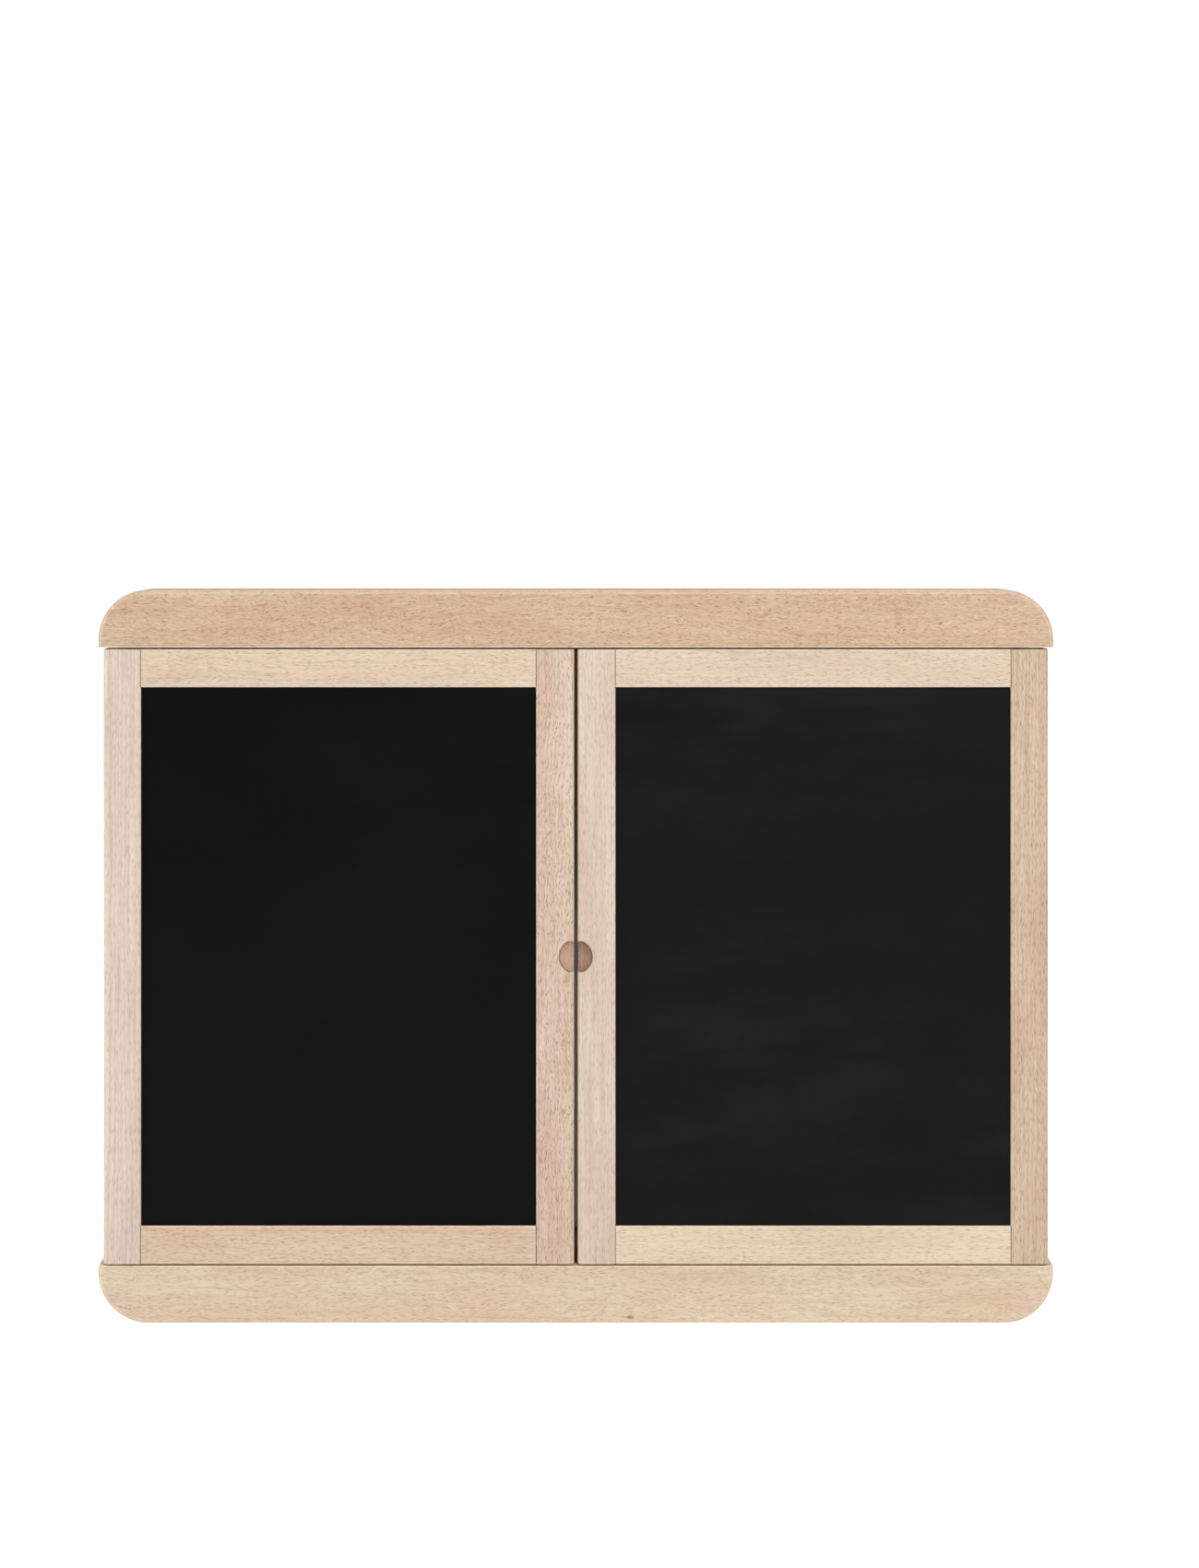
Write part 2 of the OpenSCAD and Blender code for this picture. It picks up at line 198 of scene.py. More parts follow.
def new_group(name, inputs, outputs):
    """A shader group with named sockets; returns the group, its way in and its way out."""
    group = bpy.data.node_groups.new(name, "ShaderNodeTree")
    for label, kind, value in inputs:
        socket = group.interface.new_socket(label, in_out="INPUT", socket_type="NodeSocket" + kind)
        if value is not None:
            socket.default_value = value
    for label, kind in outputs:
        group.interface.new_socket(label, in_out="OUTPUT", socket_type="NodeSocket" + kind)
    way_in, way_out = group.nodes.new("NodeGroupInput"), group.nodes.new("NodeGroupOutput")
    return group, way_in.outputs, way_out.inputs


def colour(red, green, blue):
    """A colour written in everyday 0-255 values, turned into the linear light nodes expect."""
    def linear(c):
        c = c / 255
        return c / 12.92 if c <= 0.04045 else ((c + 0.055) / 1.055) ** 2.4
    return (linear(red), linear(green), linear(blue), 1.0)


print("helpers ready; mid grey is", round(colour(128, 128, 128)[0], 3))

# %% [markdown]
# ## Light and floor
# Bare beech looks best in broad, soft light. One large softbox hangs high in front on the right,
# a narrow one grazes the left end, and a pale floor throws light back up. The room is an even
# grey, but darker behind the camera, as a studio is, so that the black boards have nothing bright
# to mirror, and a tall black flag hangs straight in front so that no light shines through the gap
# between the doors. The wall on the right is dim, which lets the right end fall into shade. Seen
# directly, the room shows as plain white.

# %% Light and floor
def softbox(name, at, aim, size, watts, tint=(1.0, 1.0, 1.0)):
    """A rectangular area light at one point that faces another."""
    light = bpy.data.lights.new(name, "AREA")
    light.shape = "RECTANGLE"
    light.size, light.size_y = size
    light.energy, light.color = watts, tint
    lamp = bpy.data.objects.new(name, light)
    lamp.location = at
    lamp.rotation_euler = (Vector(aim) - Vector(at)).to_track_quat("-Z", "Y").to_euler()
    scene.collection.objects.link(lamp)
    return lamp


heart = Vector((0, 0, middle_z))
softbox("key_softbox", (1.1, -2.1, 2.0), heart, (1.3, 1.0), 49, (1.0, 0.985, 0.965))
softbox("left_edge_softbox", (-1.9, -0.45, 0.6), heart, (0.5, 1.2), 13, (0.97, 0.985, 1.0))
softbox("back_softbox", (0.6, 1.6, 2.6), heart, (1.8, 1.4), 16)
ROOM_GREY, DARK_END = 0.66, 0.08      # the room's strength, and behind the camera
DARK_WAY = (-0.42, -0.90, 0.10)       # the middle of the dark end, seen from the board
DARK_FROM, DARK_FULL = 0.72, 0.97     # how near to that way it starts, and where it is full
FLAG_HALF, FLAG_SOFT = 0.05, 0.13     # half the black flag's width, and where its shade ends
FLAG_GREY = 0.05                      # what still comes from the flag
WALL_FROM, WALL_FULL = 0.1, 0.95      # how far to the right the dim wall starts, and is full
DIM_WALL = 0.25                       # what the right wall gives of the others' light
ROOM_TINT, ROOM_SEEN = (0.98, 0.99, 1.0, 1), 1.05

world = bpy.data.worlds.new("studio_room")
scene.world = world
world.use_nodes = True
room = world.node_tree
room.nodes.clear()
way = add(room, "ShaderNodeTexCoord").outputs["Generated"]
to_dark = vector_node(room, "DOT_PRODUCT", way, DARK_WAY).outputs["Value"]
level = remap(room, to_dark, DARK_FROM, DARK_FULL, ROOM_GREY, DARK_END)
rightward = add(room, "ShaderNodeSeparateXYZ", {0: way}).outputs["X"]
flag = remap(room, math_node(room, "ABSOLUTE", rightward), FLAG_HALF, FLAG_SOFT, FLAG_GREY)
wall = remap(room, rightward, WALL_FROM, WALL_FULL, 1.0, DIM_WALL)
strength = math_node(room, "MULTIPLY", math_node(room, "MULTIPLY", level, flag), wall)
shade = add(room, "ShaderNodeBackground", {"Color": ROOM_TINT, "Strength": strength})
white = add(room, "ShaderNodeBackground", {"Color": (1, 1, 1, 1), "Strength": ROOM_SEEN})
seen = add(room, "ShaderNodeLightPath").outputs["Is Camera Ray"]
add(room, "ShaderNodeOutputWorld", {
    "Surface": add(room, "ShaderNodeMixShader", {0: seen, 1: shade, 2: white})})

FLOOR_HALF, FLOOR_FRONT = 12.0, 1.5   # metres; the paper ends a step in front of the board
floor_mesh = bpy.data.meshes.new("floor")
corners = [(x * FLOOR_HALF, y, 0) for x, y in
           ((-1, -FLOOR_FRONT), (1, -FLOOR_FRONT), (1, FLOOR_HALF), (-1, FLOOR_HALF))]
floor_mesh.from_pydata(corners, [], [(0, 1, 2, 3)])
floor = bpy.data.objects.new("floor", floor_mesh)
scene.collection.objects.link(floor)
floor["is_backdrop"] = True

# %% [markdown]
# ## The figure of beech
# Planed beech is pale and close-grained. Three things make it beech and not another wood: soft
# growth rings, a shimmer of fine fibres, and thousands of short brown flecks, the cut ends of its
# rays, all lying along the grain. The group works in millimetres with X along the grain. It bends
# space a little first, so that rings, fibres and flecks all waver together, as they do in a tree.
# One plank may also hold a pin knot, the small dark dot of a twig that died young.

# %% The beech figure group
beech_figure, figure_in, figure_out = new_group(
    "beech_figure",
    [("Grain", "Vector", None), ("Pith", "Vector", (0, 60, 0)), ("Waver", "Float", 1.0),
     ("Ring Width", "Float", 2.6), ("Ring Depth", "Float", 0.5), ("Fleck Depth", "Float", 1.0),
     ("Fibre Depth", "Float", 1.0), ("Mottle", "Float", 1.0), ("Pale", "Color", None),
     ("Rosy", "Color", None), ("Deep", "Color", None), ("Pin Knot", "Vector", (0, 9999, 0))],
    [("Color", "Color"), ("Height", "Float"), ("Fleck", "Float")])
g = beech_figure

slow = noise(g, vector_node(g, "MULTIPLY", figure_in["Grain"], (0.020, 0.05, 0.05)), 1.0, 2.0)
quick = noise(g, vector_node(g, "MULTIPLY", figure_in["Grain"], (0.085, 0.16, 0.16)), 1.0, 1.0)
sway = vector_node(g, "SUBTRACT", slow.outputs["Color"], (0.5, 0.5, 0.5))
shiver = vector_node(g, "SUBTRACT", quick.outputs["Color"], (0.5, 0.5, 0.5))
sway = vector_node(g, "MULTIPLY", sway, (0, 9, 9))
shiver = vector_node(g, "MULTIPLY", shiver, (0, 1.9, 1.9))
bend = vector_node(g, "ADD", sway, shiver)
bend = add(g, "ShaderNodeVectorMath", {0: bend, "Scale": figure_in["Waver"]}, operation="SCALE")
wood = vector_node(g, "ADD", figure_in["Grain"], bend)

across = vector_node(g, "MULTIPLY", vector_node(g, "SUBTRACT", wood, figure_in["Pith"]), (0, 1, 1))
ring_count = math_node(g, "DIVIDE", vector_node(g, "LENGTH", across).outputs["Value"],
                       figure_in["Ring Width"])
uneven = noise(g, vector_node(g, "MULTIPLY", wood, (0.004, 0.12, 0.12)), 1.0, 2.0)
season = math_node(g, "FRACT", math_node(g, "MULTIPLY_ADD", uneven.outputs["Fac"], 3.0, ring_count))
late_wood = remap(g, season, 0.25, 0.94)
early_wood = remap(g, season, 0.94, 1.0, 1.0, 0.0)
rings = math_node(g, "MULTIPLY", late_wood, early_wood)

fibres = noise(g, vector_node(g, "MULTIPLY", wood, (0.05, 2.4, 2.4)), 1.0, 4.0, 0.62)
streaks = noise(g, vector_node(g, "MULTIPLY", wood, (0.012, 0.55, 0.55)), 1.0, 3.0, 0.6)
mottle = noise(g, vector_node(g, "MULTIPLY", wood, (0.010, 0.045, 0.045)), 1.0, 3.0, 0.5)


def flecks(length, width, low, high, rarity, shift):
    """Short dashes along the grain, one in some of the cells of a stretched cell pattern."""
    cells = vector_node(g, "MULTIPLY", wood, (1 / length, 1 / width, 1 / width))
    cells = vector_node(g, "ADD", cells, (shift, shift * 0.7, shift * 1.3))
    cell = add(g, "ShaderNodeTexVoronoi", {"Vector": cells, "Scale": 1.0, "Randomness": 1.0})
    dash = remap(g, cell.outputs["Distance"], low, high, 1.0, 0.0)
    pick = add(g, "ShaderNodeSeparateColor", {0: cell.outputs["Color"]})
    chosen = remap(g, pick.outputs[0], rarity, min(rarity + 0.45, 1.0))
    return math_node(g, "MULTIPLY", dash, chosen)


dark_flecks = flecks(6.0, 0.60, 0.08, 0.44, 0.0, 0.0)
long_flecks = flecks(12.0, 0.70, 0.06, 0.34, 0.15, 17.3)
pale_flecks = flecks(8.0, 0.66, 0.08, 0.46, 0.10, 41.9)
dark = math_node(g, "MAXIMUM", dark_flecks, math_node(g, "MULTIPLY", long_flecks, 0.8))

tone = remap(g, mottle.outputs["Fac"], 0.34, 0.66)
tone = math_node(g, "MULTIPLY", tone, figure_in["Mottle"])
face = blend(g, tone, figure_in["Pale"], figure_in["Rosy"])
ring_mark = math_node(g, "MULTIPLY", rings, figure_in["Ring Depth"])
streak_mark = math_node(g, "MULTIPLY", remap(g, streaks.outputs["Fac"], 0.45, 0.75),
                        figure_in["Fibre Depth"])
fibre_mark = math_node(g, "MULTIPLY", remap(g, fibres.outputs["Fac"], 0.42, 0.74),
                       figure_in["Fibre Depth"])
face = blend(g, math_node(g, "MULTIPLY", ring_mark, 0.55), face, figure_in["Deep"])
face = blend(g, math_node(g, "MULTIPLY", streak_mark, 0.40), face, figure_in["Deep"])
face = blend(g, math_node(g, "MULTIPLY", fibre_mark, 0.26), face, figure_in["Deep"])
silver = math_node(g, "MULTIPLY", math_node(g, "MULTIPLY", pale_flecks, 0.36),
                   figure_in["Fleck Depth"])
face = blend(g, silver, face, colour(246, 232, 214))
fleck = math_node(g, "MULTIPLY", dark, figure_in["Fleck Depth"])
face = blend(g, math_node(g, "MULTIPLY", fleck, 0.72), face, colour(122, 84, 56))
from_knot = vector_node(g, "SUBTRACT", figure_in["Grain"], figure_in["Pin Knot"])
from_knot = vector_node(g, "MULTIPLY", from_knot, (0.45, 1, 1))
from_knot = vector_node(g, "LENGTH", from_knot).outputs["Value"]
face = blend(g, remap(g, from_knot, 0.5, 1.5, 0.62, 0.0), face, colour(96, 62, 40))
height = math_node(g, "SUBTRACT", math_node(g, "MULTIPLY", fibres.outputs["Fac"], 0.5),
                   math_node(g, "MULTIPLY", fleck, 0.8))
g.links.new(face, figure_out["Color"])
g.links.new(height.outputs[0], figure_out["Height"])
g.links.new(fleck.outputs[0], figure_out["Fleck"])
print("beech_figure nodes", len(g.nodes))

# %% [markdown]
# ## Cut surfaces, painted highlights and painted shade
# The same plank looks different where it is cut. Across the grain it drinks more oil and goes
# darker. Along an eased edge a pale painted highlight stands for the light that the edge catches.
# In the dished finger pull a darker, warmer tone is painted shade. At a joint, oil and dust settle
# in a dark line, and the same dark line round the pull's rim is painted shade.
# Each mesh carries three of these masks in a colour attribute named `cuts` and the last in one
# named `joints_and_rim_shade`, and this group turns them into colour and roughness for every member
# alike.

# %% The surface marks and painted light group
surface_marks_and_painted_light, cut_in, cut_out = new_group(
    "surface_marks_and_painted_light",
    [("Color", "Color", None), ("Grain", "Vector", None), ("Cuts", "Color", None),
     ("Seam", "Float", 0.0), ("End Tone", "Color", colour(192, 156, 122)),
     ("Dish Painted Shade", "Color", colour(206, 178, 158)), ("Joint And Rim Shade Tone", "Color", colour(74, 46, 30)),
     ("Edge Highlight", "Float", 0.6)],
    [("Color", "Color"), ("Roughness", "Float")])
g = surface_marks_and_painted_light
mask = add(g, "ShaderNodeSeparateColor", {0: cut_in["Cuts"]})
end_mask, highlight_mask, dish_shade_mask = mask.outputs
patchy = remap(g, noise(g, cut_in["Grain"], 0.35, 3.0).outputs["Fac"], 0.35, 0.65, 0.55, 1.0)
edge_highlit = math_node(g, "MULTIPLY", math_node(g, "MULTIPLY", highlight_mask, cut_in["Edge Highlight"]), patchy)
face = blend(g, math_node(g, "MULTIPLY", end_mask, 0.75), cut_in["Color"],
             blend(g, 1.0, cut_in["Color"], cut_in["End Tone"], "MULTIPLY"))
# Painted shade in the finger pull: the dish's faces are multiplied by a darker, warmer tone.
face = blend(g, math_node(g, "MULTIPLY", dish_shade_mask, 0.85), face,
             blend(g, 1.0, face, cut_in["Dish Painted Shade"], "MULTIPLY"))
# Painted highlight: the eased edges are mixed towards a pale tone for the light that they catch.
face = blend(g, edge_highlit, face, colour(250, 240, 226))
# A dark line at each joint, and painted shade as the same dark line round the finger pull's rim.
face = blend(g, cut_in["Seam"], face, cut_in["Joint And Rim Shade Tone"])
rough = math_node(g, "ADD", 0.52, math_node(g, "MULTIPLY", patchy, 0.1))
rough = math_node(g, "ADD", rough, math_node(g, "MULTIPLY", end_mask, 0.15))
g.links.new(face, cut_out["Color"])
g.links.new(rough.outputs[0], cut_out["Roughness"])
print("surface_marks_and_painted_light nodes", len(g.nodes))

# %% [markdown]
# ## One material for each beech member
# A joiner picks each member from a different plank, so no two match: the top rail is warm and
# wavy, the bottom rail straw-coloured, and the uprights are sawn on the quarter with straight
# lines. `beech` gives each member its own planks' colours, its own place in the tree (the pith
# lies far to the side for straight lines, close behind for arched ones) and its own figure.

# %% Beech materials
def beech(name, upright, pale, rosy, deep, pith, spot, waver=1.0, ring_width=2.6, ring=0.5,
          fleck=1.0, fibre=1.0, mottle=1.0, knot=(0, 9999, 0), dish_painted_shade=(206, 178, 158)):
    """Oiled beech whose grain runs along Z if upright, or along X."""
    material = bpy.data.materials.new(name)
    material.use_nodes = True
    tree = material.node_tree
    tree.nodes.clear()
    place = add(tree, "ShaderNodeTexCoord")
    turn = (0, math.radians(90), 0) if upright else (0, 0, 0)
    grain = add(tree, "ShaderNodeMapping", {
        "Vector": place.outputs["Object"], "Location": spot, "Rotation": turn,
        "Scale": (1000, 1000, 1000)}, vector_type="POINT")
    figure = add(tree, "ShaderNodeGroup", node_tree=beech_figure)
    tree.links.new(grain.outputs[0], figure.inputs["Grain"])
    for label, value in (("Pith", pith), ("Waver", waver), ("Ring Width", ring_width),
                         ("Ring Depth", ring), ("Fleck Depth", fleck), ("Fibre Depth", fibre),
                         ("Mottle", mottle), ("Pale", colour(*pale)), ("Rosy", colour(*rosy)),
                         ("Deep", colour(*deep)), ("Pin Knot", knot)):
        figure.inputs[label].default_value = value
    cuts = add(tree, "ShaderNodeAttribute", attribute_name="cuts")
    marks_and_light = add(tree, "ShaderNodeGroup", node_tree=surface_marks_and_painted_light)
    tree.links.new(figure.outputs["Color"], marks_and_light.inputs["Color"])
    tree.links.new(grain.outputs[0], marks_and_light.inputs["Grain"])
    tree.links.new(cuts.outputs["Color"], marks_and_light.inputs["Cuts"])
    joints_and_rim_shade = add(tree, "ShaderNodeAttribute", attribute_name="joints_and_rim_shade")
    tree.links.new(joints_and_rim_shade.outputs["Fac"], marks_and_light.inputs["Seam"])
    # The finger pull's painted shade: the tone that darkens its dish.
    marks_and_light.inputs["Dish Painted Shade"].default_value = colour(*dish_painted_shade)
    relief = add(tree, "ShaderNodeBump", {"Height": figure.outputs["Height"], "Strength": 0.35,
                                          "Distance": 0.0001})
    skin = add(tree, "ShaderNodeBsdfPrincipled", {
        "Base Color": marks_and_light.outputs["Color"], "Roughness": marks_and_light.outputs["Roughness"],
        "Normal": relief.outputs[0], "Specular IOR Level": 0.32})
    add(tree, "ShaderNodeOutputMaterial", {"Surface": skin})
    return material


BEECHES = {
    "top_rail": beech("beech_top_rail", False, (217, 191, 162), (212, 178, 151), (176, 139, 108),
                      (0, 70, -30), (13, 5, 3), waver=1.9, ring_width=4.5, ring=0.35, fleck=1.0),
    "bottom_rail": beech("beech_bottom_rail", False, (227, 210, 184), (223, 197, 172),
                         (193, 164, 131), (0, 90, 60), (371, 11, 7), waver=1.2, ring_width=3.6,
                         ring=0.30, fleck=0.7, knot=(404, -9, 11)),
    "left_outer_stile": beech("beech_left_outer_stile", True, (228, 214, 198), (220, 203, 190),
                              (194, 168, 149), (0, 8, 420), (91, 23, 19), waver=0.35, ring=0.55,
                              fleck=0.55, fibre=1.2),
    # The finger pull's two halves carry different painted shade: pale in the left inner stile, deep
    # brown in the right one, as if lit from the right.
    "left_inner_stile": beech("beech_left_inner_stile", True, (227, 207, 187), (218, 190, 172),
                              (180, 147, 123), (0, 40, 160), (577, 31, 43), waver=1.3, ring=0.5,
                              fleck=1.1, fibre=1.1, dish_painted_shade=(230, 212, 194)),
    "right_inner_stile": beech("beech_right_inner_stile", True, (227, 210, 192), (218, 196, 180),
                               (196, 171, 149), (0, 12, -380), (811, 53, 61), waver=0.4, ring=0.5,
                               fleck=0.6, fibre=1.1, dish_painted_shade=(158, 102, 64)),
    "right_outer_stile": beech("beech_right_outer_stile", True, (215, 192, 165), (206, 178, 155),
                               (177, 145, 120), (0, 20, 300), (1201, 71, 83), waver=0.5, ring=0.5,
                               fleck=0.9, fibre=1.2),
    "left_door_top_rail": beech("beech_left_top_rail", False, (227, 208, 183), (221, 197, 175),
                                (197, 168, 140), (0, 80, 20), (1511, 97, 101), waver=1.1,
                                ring_width=3.2, ring=0.3, fleck=0.75),
    "left_door_bottom_rail": beech("beech_left_bottom_rail", False, (225, 204, 179),
                                   (218, 191, 169), (189, 157, 129), (0, 120, 60),
                                   (1777, 113, 127), waver=0.9, ring=0.35, fleck=0.8),
    "right_door_top_rail": beech("beech_right_top_rail", False, (227, 209, 187), (221, 200, 179),
                                 (198, 172, 145), (0, 90, -40), (2011, 131, 149), waver=1.3,
                                 ring_width=3.4, ring=0.3, fleck=0.75),
    "right_door_bottom_rail": beech("beech_right_bottom_rail", False, (232, 217, 193),
                                    (226, 207, 184), (203, 176, 148), (0, 60, -90),
                                    (2309, 151, 163), waver=0.8, ring=0.3, fleck=0.7),
    "back_frame": beech("beech_back_frame", True, (214, 190, 160), (206, 178, 148),
                        (172, 138, 104), (0, 30, 140), (2617, 173, 181), fleck=0.9),
    "stop_blocks": beech("beech_stop_blocks", False, (214, 190, 160), (206, 178, 148),
                         (172, 138, 104), (0, 40, 60), (2903, 191, 199), fleck=0.9),
    "dowels": beech("beech_dowels", True, (210, 182, 150), (200, 168, 136), (164, 128, 96),
                    (0, 6, 14), (3301, 211, 223), fleck=0.7),
}
print("beech materials", len(BEECHES))

# %% [markdown]
# ## Handling marks
# A flat coated sheet never stays perfect: cloths and hands leave broad faint wipes, and dust
# settles in a fine haze. Chalkboard, whiteboard and steel share this one group, each with its own
# strengths. It bends the roughness a little and gives a thin haze mask for the colour.

# %% The handling marks group
handling_marks, marks_in, marks_out = new_group(
    "handling_marks",
    [("Place", "Vector", None), ("Wipes", "Float", 1.0), ("Dust", "Float", 1.0),
     ("Smooth", "Float", 0.4), ("Rough", "Float", 0.6)],
    [("Roughness", "Float"), ("Haze", "Float"), ("Height", "Float")])
g = handling_marks
slant = add(g, "ShaderNodeMapping", {"Vector": marks_in["Place"],
                                     "Rotation": (0, math.radians(24), 0), "Scale": (7, 7, 26)})
wipes = noise(g, slant, 1.0, 4.0, 0.6)
clouds = noise(g, marks_in["Place"], 6.0, 3.0, 0.5)
specks = add(g, "ShaderNodeTexVoronoi", {"Vector": marks_in["Place"], "Scale": 260.0})
speck = remap(g, specks.outputs["Distance"], 0.05, 0.16, 1.0, 0.0)
wiped = math_node(g, "MULTIPLY", remap(g, wipes.outputs["Fac"], 0.35, 0.7), marks_in["Wipes"])
clouded = math_node(g, "MULTIPLY", remap(g, clouds.outputs["Fac"], 0.35, 0.7), wiped)
dusty = math_node(g, "MULTIPLY", speck, marks_in["Dust"])
haze = math_node(g, "ADD", math_node(g, "MULTIPLY", clouded, 0.7),
                 math_node(g, "MULTIPLY", dusty, 0.5))
tooth = noise(g, marks_in["Place"], 1400.0, 2.0, 0.6)
spread = math_node(g, "SUBTRACT", marks_in["Rough"], marks_in["Smooth"])
rough = math_node(g, "MULTIPLY_ADD", wipes.outputs["Fac"], spread, marks_in["Smooth"])
g.links.new(rough.outputs[0], marks_out["Roughness"])
g.links.new(haze.outputs[0], marks_out["Haze"])
g.links.new(tooth.outputs["Fac"], marks_out["Height"])
print("handling_marks nodes", len(g.nodes))

# %% [markdown]
# ## Painted sheets, metal, nylon and rubber
# The chalkboard paint is a dead black with a fine tooth that holds chalk. The right board is painted
# greyer than the left one, with a paler haze: painted sheen for the soft light that it reflects, laid
# over its real wipes and dust. The whiteboards are steel under a smooth white lacquer. The small
# fittings are zinc plate, nickel plate, nylon and rubber. One maker, `coated`, wires them all to the
# handling marks. The floor's paper looks brighter than it shines on the board, so that it stays white
# in every view and still leaves the board's foot dark.

# %% Sheet and fitting materials
TOOTH_DEPTH = 0.02 * MM


def coated(name, tone, marks_and_sheen, smooth, rough, wipes, dust, tooth, **constants):
    """A coated or moulded surface: two tones mixed by its handling marks. On the right chalkboard
    both tones also carry painted sheen.
    """
    material = bpy.data.materials.new(name)
    material.use_nodes = True
    tree = material.node_tree
    tree.nodes.clear()
    place = add(tree, "ShaderNodeTexCoord")
    marks = add(tree, "ShaderNodeGroup", node_tree=handling_marks)
    tree.links.new(place.outputs["Object"], marks.inputs["Place"])
    for label, value in (("Wipes", wipes), ("Dust", dust), ("Smooth", smooth), ("Rough", rough)):
        marks.inputs[label].default_value = value
    tint = blend(tree, marks.outputs["Haze"], colour(*tone), colour(*marks_and_sheen))
    relief = add(tree, "ShaderNodeBump", {"Height": marks.outputs["Height"], "Strength": tooth,
                                          "Distance": TOOTH_DEPTH})
    skin = add(tree, "ShaderNodeBsdfPrincipled", {
        "Base Color": tint, "Roughness": marks.outputs["Roughness"],
        "Normal": relief.outputs[0]})
    for label, value in constants.items():
        skin.inputs[label.replace("_", " ")].default_value = value
    add(tree, "ShaderNodeOutputMaterial", {"Surface": skin})
    return material


# The right board's two tones are painted lighter than the left's: painted sheen for the soft light
# that it reflects.
CHALKBOARDS = {
    side: coated(f"chalkboard_paint_{side}", tone, marks_and_sheen, 0.40, 0.52, 0.8, 0.25, 0.35,
                 Specular_IOR_Level=0.09)
    for side, tone, marks_and_sheen in (("left", (7, 9, 8), (15, 17, 16)),
                               ("right", (17, 19, 18), (36, 38, 37)))}
white_lacquer = coated("white_lacquer", (238, 239, 236), (226, 228, 226), 0.12, 0.26, 0.5, 0.1,
                       0.05, Specular_IOR_Level=0.5, Coat_Weight=0.4, Coat_Roughness=0.08)
zinc_plate = coated("zinc_plate", (178, 181, 184), (146, 149, 150), 0.26, 0.44, 0.9, 0.5, 0.15,
                    Metallic=1.0)
nickel_plate = coated("nickel_plate", (206, 202, 196), (176, 171, 164), 0.12, 0.26, 0.8, 0.4,
                      0.05, Metallic=1.0)
nylon = coated("nylon", (236, 233, 222), (222, 217, 203), 0.38, 0.5, 0.6, 0.4, 0.1,
               Specular_IOR_Level=0.4)
rubber = coated("grey_rubber", (74, 75, 76), (98, 98, 97), 0.62, 0.8, 0.8, 0.8, 0.4,
                Specular_IOR_Level=0.3)
PAPER_GLOW, PAPER_SEEN = 0.12, 0.75  # the light that the paper adds, and how bright it looks
floor_paper = coated("floor_paper", (244, 244, 243), (240, 240, 239), 0.8, 0.9, 0.5, 0.0, 0.0,
                     Specular_IOR_Level=0.1, Emission_Color=(1, 1, 1, 1))
web = floor_paper.node_tree
seen = add(web, "ShaderNodeLightPath").outputs["Is Camera Ray"]
glow = math_node(web, "MULTIPLY_ADD", seen, PAPER_SEEN - PAPER_GLOW, PAPER_GLOW)
paper_skin = next(n for n in web.nodes if n.type == "BSDF_PRINCIPLED")
web.links.new(glow.outputs[0], paper_skin.inputs["Emission Strength"])
floor.data.materials.append(floor_paper)
print("materials so far", len(bpy.data.materials))

# %% [markdown]
# ## Fibreboard
# The cores are pressed wood fibre. Their back carries the print of the wire screen that they were
# pressed on: a fine woven dimple pattern. Two crossed waves make it, over a felted brown ground,
# and its dimples are painted darker as painted shade.

# %% Fibreboard material
SCREEN_PITCH = 2.1  # mm between the screen's wires
fibreboard = bpy.data.materials.new("fibreboard")
fibreboard.use_nodes = True
tree = fibreboard.node_tree
tree.nodes.clear()
place = add(tree, "ShaderNodeTexCoord").outputs["Object"]
felt = noise(tree, vector_node(tree, "MULTIPLY", place, (900, 900, 500)), 1.0, 5.0, 0.65)
patches = noise(tree, place, 14.0, 3.0)
axes = add(tree, "ShaderNodeSeparateXYZ", {0: place})
turns = 2 * math.pi / (SCREEN_PITCH * MM)
wires = [math_node(tree, "SINE", math_node(tree, "MULTIPLY", axes.outputs[label], turns))
         for label in "XZ"]
screen = math_node(tree, "MULTIPLY", *wires)
tint = blend(tree, remap(tree, felt.outputs["Fac"], 0.3, 0.7), colour(150, 112, 76),
             colour(184, 146, 106))
tint = blend(tree, remap(tree, patches.outputs["Fac"], 0.35, 0.65, 0.0, 0.35), tint,
             colour(134, 98, 66))
# Painted shade: the screen's dimples are mixed towards a darker brown.
tint = blend(tree, remap(tree, screen, 0.2, 1.0, 0.0, 0.3), tint, colour(112, 80, 52))
relief = add(tree, "ShaderNodeBump", {
    "Height": math_node(tree, "MULTIPLY_ADD", screen, -0.5, felt.outputs["Fac"]),
    "Strength": 0.5, "Distance": 0.0002})
skin = add(tree, "ShaderNodeBsdfPrincipled", {
    "Base Color": tint, "Roughness": 0.82, "Normal": relief.outputs[0], "Specular IOR Level": 0.25})
add(tree, "ShaderNodeOutputMaterial", {"Surface": skin})
print("fibreboard nodes", len(tree.nodes))

# %% [markdown]
# ## Easing the edges
# A sharp edge on a child's board would splinter and cut, so a maker takes off every outer edge
# with a few strokes of fine paper. Here `outer_edges` finds a piece's edges, `bevel` takes them off
# by a set width, and `paint_cuts` marks what was cut, with a painted highlight on the eased edges
# and painted shade in the finger pull. Where two members meet, a smaller bevel leaves the fine dark
# line of a real joint.

# %% Easing helpers
ARRIS = 0.6 * MM    # bevel on an open edge
JOINT = 0.2 * MM    # bevel where a member butts against another
RIM = 0.3 * MM      # bevel round the finger pull
EDGE_TURN = math.radians(35)
END_STARTS = 0.35   # how far a face must turn to the grain before it shows end grain
ON_SIDE = 0.02 * MM  # a corner nearer than this to a box's side lies on it


def on_box(v, low, high):
    """On which sides of a box a corner lies, as three numbers -1, 0 or 1."""
    return tuple((abs(v[i] - high[i]) < ON_SIDE) - (abs(v[i] - low[i]) < ON_SIDE)
                 for i in range(3))


